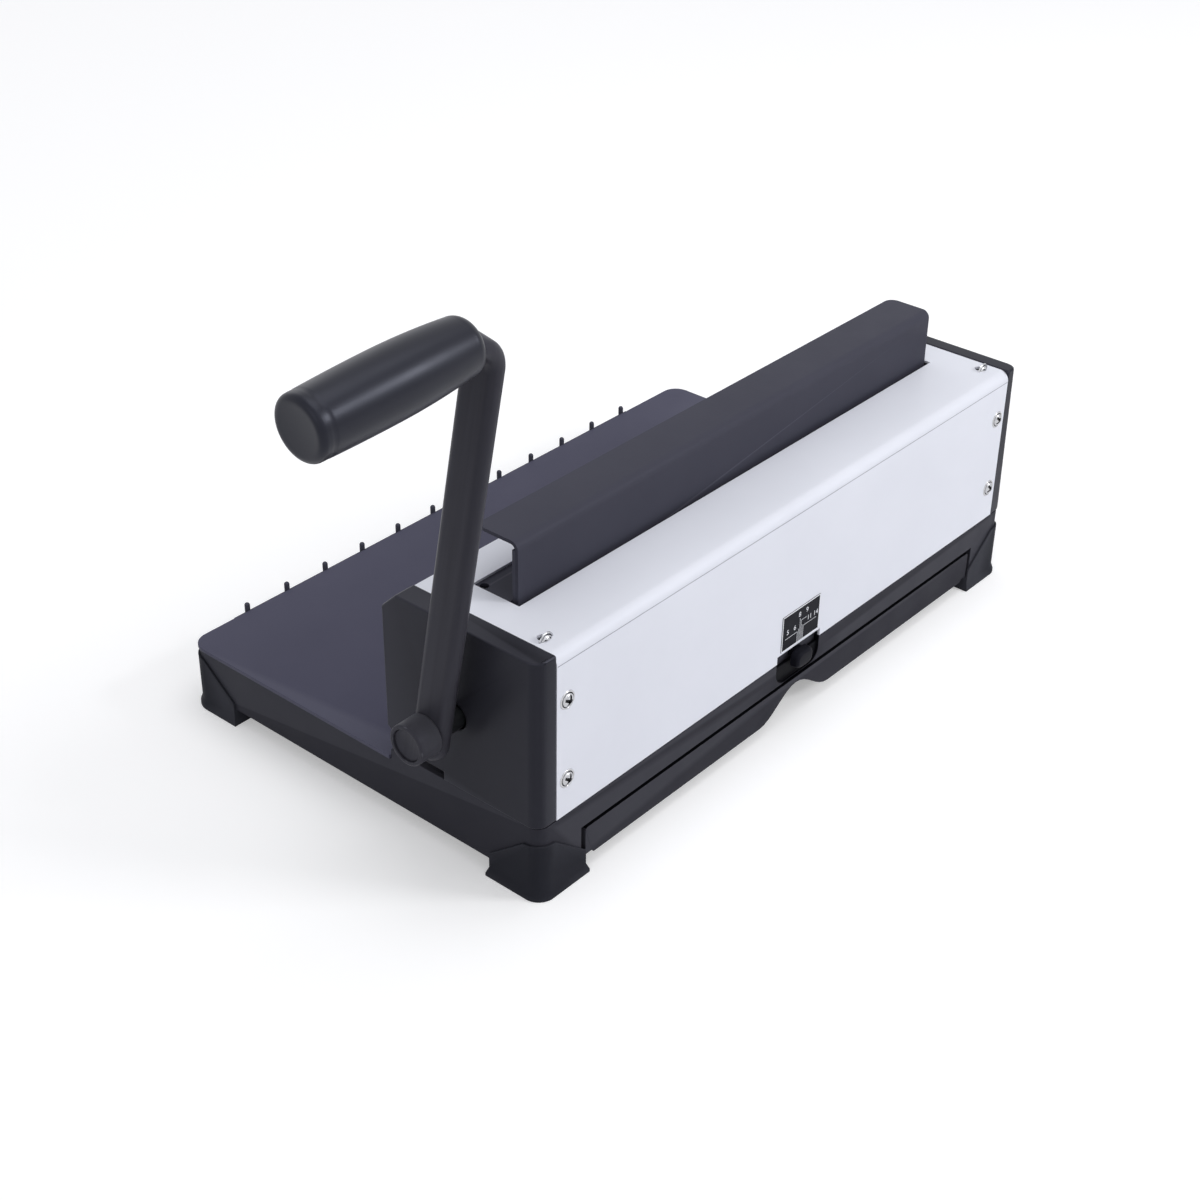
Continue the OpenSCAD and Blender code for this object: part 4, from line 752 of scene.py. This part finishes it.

# %% [markdown]
# ## Screw heads
# The cover is held by bright screws with a washer flange and a cross recess. A head is a polar
# grid: a flat ring, a narrow groove and a dome, less a cross whose arms narrow and rise towards
# their ends, as a driver's tip does. The height is a formula, so the recess has smooth walls.
# The groove and the cross are painted darker as shade, and an attribute marks those places.

# %% Screws


def head_surface(x, y, radius, height):
    """Height of a head and its share of painted shade. The dome is a spherical cap, sqrt(D^2 - r^2)
    less its value at the dome's edge. Each arm of the cross is a groove whose floor rises to the
    dome's surface at the arm's tip."""
    r = np.hypot(x, y)
    dome = radius * 0.74
    ring = height * 0.24
    rise = height - ring
    cap_radius = (dome ** 2 + rise ** 2) / (2 * rise)
    cap = np.sqrt(cap_radius ** 2 - np.minimum(r, dome) ** 2) - (cap_radius - rise)
    rim = np.clip((r / radius - 0.88) / 0.12, 0, 1)
    groove = np.exp(-((r / radius - 0.76) / 0.045) ** 2)
    across, along = np.minimum(np.abs(x), np.abs(y)), np.maximum(np.abs(x), np.abs(y))
    reach = dome * 0.78
    half = dome * (0.24 - 0.08 * along / reach)
    wall = np.clip((half - across) / (radius * 0.05) + 0.5, 0, 1)
    wall = wall ** 2 * (3 - 2 * wall)
    floor = np.clip(1 - along / reach, 0, 1) ** 0.5 * height * 0.7
    z = ring * np.sqrt(1 - rim ** 2) + cap - groove * ring * 0.8 - wall * floor
    # Share of painted shade: the colour is darkened in the cross and the groove.
    painted_shade_share = np.clip(wall * floor / (height * 0.25), 0, 1) + groove
    return z, np.clip(painted_shade_share, 0, 1)


def screw_grid(place, outward, spin, radius, height, rings=60, steps=160):
    """Polar grid of one head, from its flat underside over the rim to the centre, and the share
    of painted shade at each point."""
    outward = np.array(outward, float)
    side = np.array([1.0, 0, 0])
    other = np.cross(outward, side)
    t = np.linspace(0, 2 * math.pi, steps, endpoint=False)
    r = radius * np.concatenate([np.linspace(1, 0.86, 12), np.linspace(0.85, 0.01, rings)])
    x, y = r[:, None] * np.cos(t), r[:, None] * np.sin(t)
    c, s = math.cos(spin), math.sin(spin)
    z, painted_shade_share = head_surface(c * x + s * y, -s * x + c * y, radius, height)
    under = np.stack([x[:1], y[:1], np.full_like(x[:1], -0.1 * MM)], axis=-1)
    grid = np.concatenate([under, np.stack([x, y, z], axis=-1)])
    return (np.array(place) + grid[..., :1] * side + grid[..., 1:2] * other
            + grid[..., 2:] * outward), np.concatenate([np.zeros_like(x[:1]), painted_shade_share])


def heads_in(node):
    """Vertices of each separate screw in the node, as a list of arrays."""
    work = bmesh.new()
    work.from_mesh(nodes[node].data)
    bmesh.ops.remove_doubles(work, verts=work.verts, dist=SAME_PLACE)
    left, groups = set(work.verts), []
    while left:
        stack, group = [left.pop()], []
        while stack:
            vert = stack.pop()
            group.append(tuple(vert.co))
            for edge in vert.link_edges:
                near = edge.other_vert(vert)
                if near in left:
                    left.remove(near)
                    stack.append(near)
        groups.append(np.array(group))
    work.free()
    return groups


def place_screws(node, sheet_depth, radius, height, name, slot):
    """One head over each screw of the node. sheet_depth is the depth of the sheet under the
    top of the plain head in the construction model, and radius holds one for each axis."""
    groups = sorted(heads_in(node), key=lambda g: tuple((g.min(0) + g.max(0)).round(5)))
    for number, group in enumerate(groups):
        lowest, highest = group.min(0), group.max(0)
        size = highest - lowest
        long_axis = 2 if abs(size[0] - size[1]) < 1e-5 else 1
        centre = (lowest + highest) / 2
        centre[long_axis] = highest[long_axis] - sheet_depth
        grid, painted_shade_share = screw_grid(centre, np.eye(3)[long_axis], 0.5 + 1.7 * number,
                                radius[long_axis], height)
        piece = grid_piece(f"{name}_{number + 1}", grid, slot, "frame", recess=painted_shade_share)
        if number == 0:
            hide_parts(node)
    return len(groups)


cover_radius = np.array([0, 4.4, 5.0]) * MM
slot_radius = np.array([0, 0, 3.6]) * MM
screw_count = place_screws("cover_screws", 1.95 * MM, cover_radius, 1.95 * MM,
                           "cover_screw", "bright_steel")
screw_count += place_screws("slot_plate_screws", 1.2 * MM, slot_radius, 2.2 * MM,
                            "slot_screw", "steel")
print(screw_count, "screw heads")

# %% [markdown]
# ## Wire pins
# Twelve short turned rods with round tips stand on the front rail and hold the open wire comb.
# Each is a profile turned about its own line.

# %% Pins
pin_low, pin_high = (np.array(corner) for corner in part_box("wire_pins"))
pin_radius = (pin_high[1] - pin_low[1]) / 2
pin_count = 12


def pin_profile(length, radius):
    """Rod with a ball tip."""
    tip = arc((length - radius, 0), radius, 90, 0, 10)
    return np.concatenate([[[0, 0], [0, radius]], tip])


for number, x in enumerate(np.linspace(pin_low[0] + pin_radius, pin_high[0] - pin_radius,
                                       pin_count)):
    piece = grid_piece(f"wire_pin_{number + 1}",
                       revolve(pin_profile(pin_high[2] - pin_low[2], pin_radius),
                               [x, (pin_low[1] + pin_high[1]) / 2, pin_low[2]],
                               [0, 0, 1], [1, 0, 0], steps=28),
                       "black_paint", "frame")
    if number == 0:
        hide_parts("wire_pins")
print(pin_count, "wire pins")

# %% [markdown]
# ## Return springs
# Two coil springs lift the carrier again after each press. A spring is one wire that runs on a
# helix, and it stretches: its lower hook moves with the carrier while its upper hook stays on
# the rod. Here the wire is left where it stands, on neither of the two bodies.

# %% Springs
spring_turns = 9
wire_radius = 0.7 * MM


def spring_grid(corner_low, corner_high, points_a_turn=36, sides=12):
    """Tube round a helix: the line is (R e cos a, R e sin a, z), where e eases from 0 to 1
    over the first and last half turn, and the tube's ring stands square to the line."""
    middle = (corner_low + corner_high) / 2
    helix_radius = (corner_high[0] - corner_low[0]) / 2 - wire_radius
    t = np.linspace(0, 1, spring_turns * points_a_turn + 1)
    ease = np.minimum(1, np.minimum(t, 1 - t) * spring_turns * 2)
    angle = 2 * math.pi * spring_turns * t
    z = corner_low[2] + wire_radius + (corner_high[2] - corner_low[2] - 2 * wire_radius) * t
    line = np.stack([middle[0] + helix_radius * ease * np.cos(angle),
                     middle[1] + helix_radius * ease * np.sin(angle), z], axis=1)
    ahead = np.gradient(line, axis=0)
    ahead /= np.linalg.norm(ahead, axis=1, keepdims=True)
    outward = np.stack([np.cos(angle), np.sin(angle), np.zeros_like(angle)], axis=1)
    outward -= (outward * ahead).sum(1, keepdims=True) * ahead
    outward /= np.linalg.norm(outward, axis=1, keepdims=True)
    upward = np.cross(ahead, outward)
    ring = np.linspace(0, 2 * math.pi, sides, endpoint=False)
    return line[:, None, :] + wire_radius * (np.cos(ring)[None, :, None] * outward[:, None, :]
                                             + np.sin(ring)[None, :, None] * upward[:, None, :])


for side_name in ("right", "left"):
    spring_low, spring_high = (np.array(corner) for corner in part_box("return_spring_" + side_name))
    piece = grid_piece("coil_spring_" + side_name, spring_grid(spring_low, spring_high),
                       "bright_steel", None, replaced=("return_spring_" + side_name,))
    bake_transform(piece)
print("springs with", spring_turns, "turns")

# %% [markdown]
# ## The fold line of the cover
# Just below the upper bend the folded cover carries a hair-thin grey line along its rear face.
# It is a film a few hundredths of a millimetre
# thick.

# %% Fold line
cover_low, cover_high = (np.array(corner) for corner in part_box("top_cover"))
fold_grey = finish("fold_line_grey", (0.36, 0.37, 0.42), (0.30, 0.31, 0.36), (0.4, 0.5))
fold_height = 114.7 * MM


def fold_line_grid(half_width=0.2 * MM, thick=0.03 * MM, points=240):
    """Flat bar along X on the cover's rear face. Its height wavers by a few hundredths."""
    x = np.linspace(cover_low[0] + 0.5 * MM, cover_high[0] - 0.5 * MM, points)
    waver = 0.03 * MM * np.sin(x / 0.021) + 0.02 * MM * np.sin(x / 0.0047)
    y = cover_high[1]
    corners = np.array([[0, -half_width], [thick, -half_width], [thick, half_width],
                        [0, half_width]])
    grid = np.zeros((points, 4, 3))
    grid[..., 0] = x[:, None]
    grid[..., 1] = y + corners[None, :, 0]
    grid[..., 2] = fold_height + waver[:, None] + corners[None, :, 1]
    return grid


fold = grid_piece("cover_fold_line", fold_line_grid(), "white_paint", "frame")
fold.data.materials[0] = fold_grey
print("fold line at", round(fold_height / MM, 1), "mm")

# %% [markdown]
# ## The size scale
# A thin plate over the knob carries a printed scale: a white frame line, six fine lines that
# rise from the knob's window, and leaders that spread to six plain numbers. Print has almost no
# thickness, so each mark is a film a few hundredths of a millimetre thick on the plate's face.

# %% Scale plate and print
plate_low, plate_high = (np.array(corner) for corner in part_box("size_label"))
plate_middle = (plate_low[0] + plate_high[0]) / 2
print_white = finish("white_print", (0.88, 0.89, 0.93), (0.82, 0.83, 0.87), (0.5, 0.6),
                     grain=1500, grain_depth=0.00001)
film = 0.04 * MM


def film_strip(x0, z0, x1, z1, width):
    """Eight corners of a thin flat strip on the plate's face, from one point to another."""
    start, end = np.array([x0, z0]), np.array([x1, z1])
    along = (end - start) / np.linalg.norm(end - start)
    side = np.array([-along[1], along[0]]) * width / 2
    outline = np.array([start - side, end - side, end + side, start + side])
    flat = np.stack([plate_middle - outline[:, 0] * MM, np.full(4, plate_high[1]),
                     plate_low[2] + outline[:, 1] * MM], axis=1)
    raised = flat + [0, film, 0]
    return np.concatenate([flat, raised])


def strips_piece(name, strips):
    """One mesh of many thin strips, each a closed six-sided film."""
    faces = np.array([[0, 1, 2, 3], [7, 6, 5, 4], [0, 4, 5, 1], [1, 5, 6, 2], [2, 6, 7, 3],
                      [3, 7, 4, 0]])
    verts = np.concatenate(strips)
    all_faces = np.concatenate([faces + 8 * i for i in range(len(strips))])
    mesh = bpy.data.meshes.new(name)
    mesh.from_pydata(verts.tolist(), [], all_faces.tolist())
    work = bmesh.new()
    work.from_mesh(mesh)
    bmesh.ops.recalc_face_normals(work, faces=work.faces)
    work.to_mesh(mesh)
    work.free()
    mesh.materials.append(print_white)
    piece = add_object(name, mesh)
    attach(piece, "frame")


plate_w = (plate_high[0] - plate_low[0]) / MM
plate_h = (plate_high[2] - plate_low[2]) / MM
edge, rim, thin = 0.27, 0.52, 0.2
half = plate_w / 2 - edge
frame_lines = [(-half, edge, -half, plate_h - edge), (half, edge, half, plate_h - edge),
               (-half, edge, half, edge), (-half, plate_h - edge, half, plate_h - edge)]
line_places = [-2.6, -1.7, -0.8, 0.1, 1.0, 1.9]
line_tops = [6.2, 7.4, 12.6, 11.4, 8.6, 7.6]
number_places = [(-10.3, 9.4), (-4.8, 9.4), (-1.4, 15.1), (4.4, 15.1), (6.6, 10.2), (11.6, 10.2)]
strips = [film_strip(*line, rim) for line in frame_lines]
strips += [film_strip(x, 0.6, x, top, thin) for x, top in zip(line_places, line_tops)]
strips.append(film_strip(-12.2, line_tops[0], line_places[0], line_tops[0], thin))
strips.append(film_strip(line_places[-1], line_tops[-1], 12.0, line_tops[-1], thin))
strips.append(film_strip(line_places[2], line_tops[2], -1.4, line_tops[2], thin))
strips.append(film_strip(line_places[3], line_tops[3], 4.4, line_tops[3], thin))
strips_piece("scale_lines", strips)


def scale_number(text, x, z, size):
    """Number as a mesh in the plate's plane, read from behind the machine."""
    curve = bpy.data.curves.new("number", "FONT")
    curve.body = text
    curve.size = size * MM
    curve.align_x = "CENTER"
    curve.align_y = "CENTER"
    curve.extrude = film / 2
    holder = add_object("number", curve)
    bpy.context.view_layer.update()
    mesh = bpy.data.meshes.new_from_object(holder)
    bpy.data.objects.remove(holder)
    flat = read_vectors(mesh.vertices, "co")
    turned = np.stack([plate_middle - x * MM - flat[:, 0],
                       plate_high[1] + film / 2 + flat[:, 2],
                       plate_low[2] + z * MM + flat[:, 1]], axis=1)
    mesh.vertices.foreach_set("co", turned.ravel())
    mesh.update()
    mesh.materials.clear()
    mesh.materials.append(print_white)
    piece = add_object(f"scale_number_{text}", mesh)
    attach(piece, "frame")


for text, (x, z) in zip(("5", "6", "8", "9", "11", "14"), number_places):
    scale_number(text, x, z, 3.7)
print("scale plate", round(plate_w, 1), "by", round(plate_h, 1), "mm")
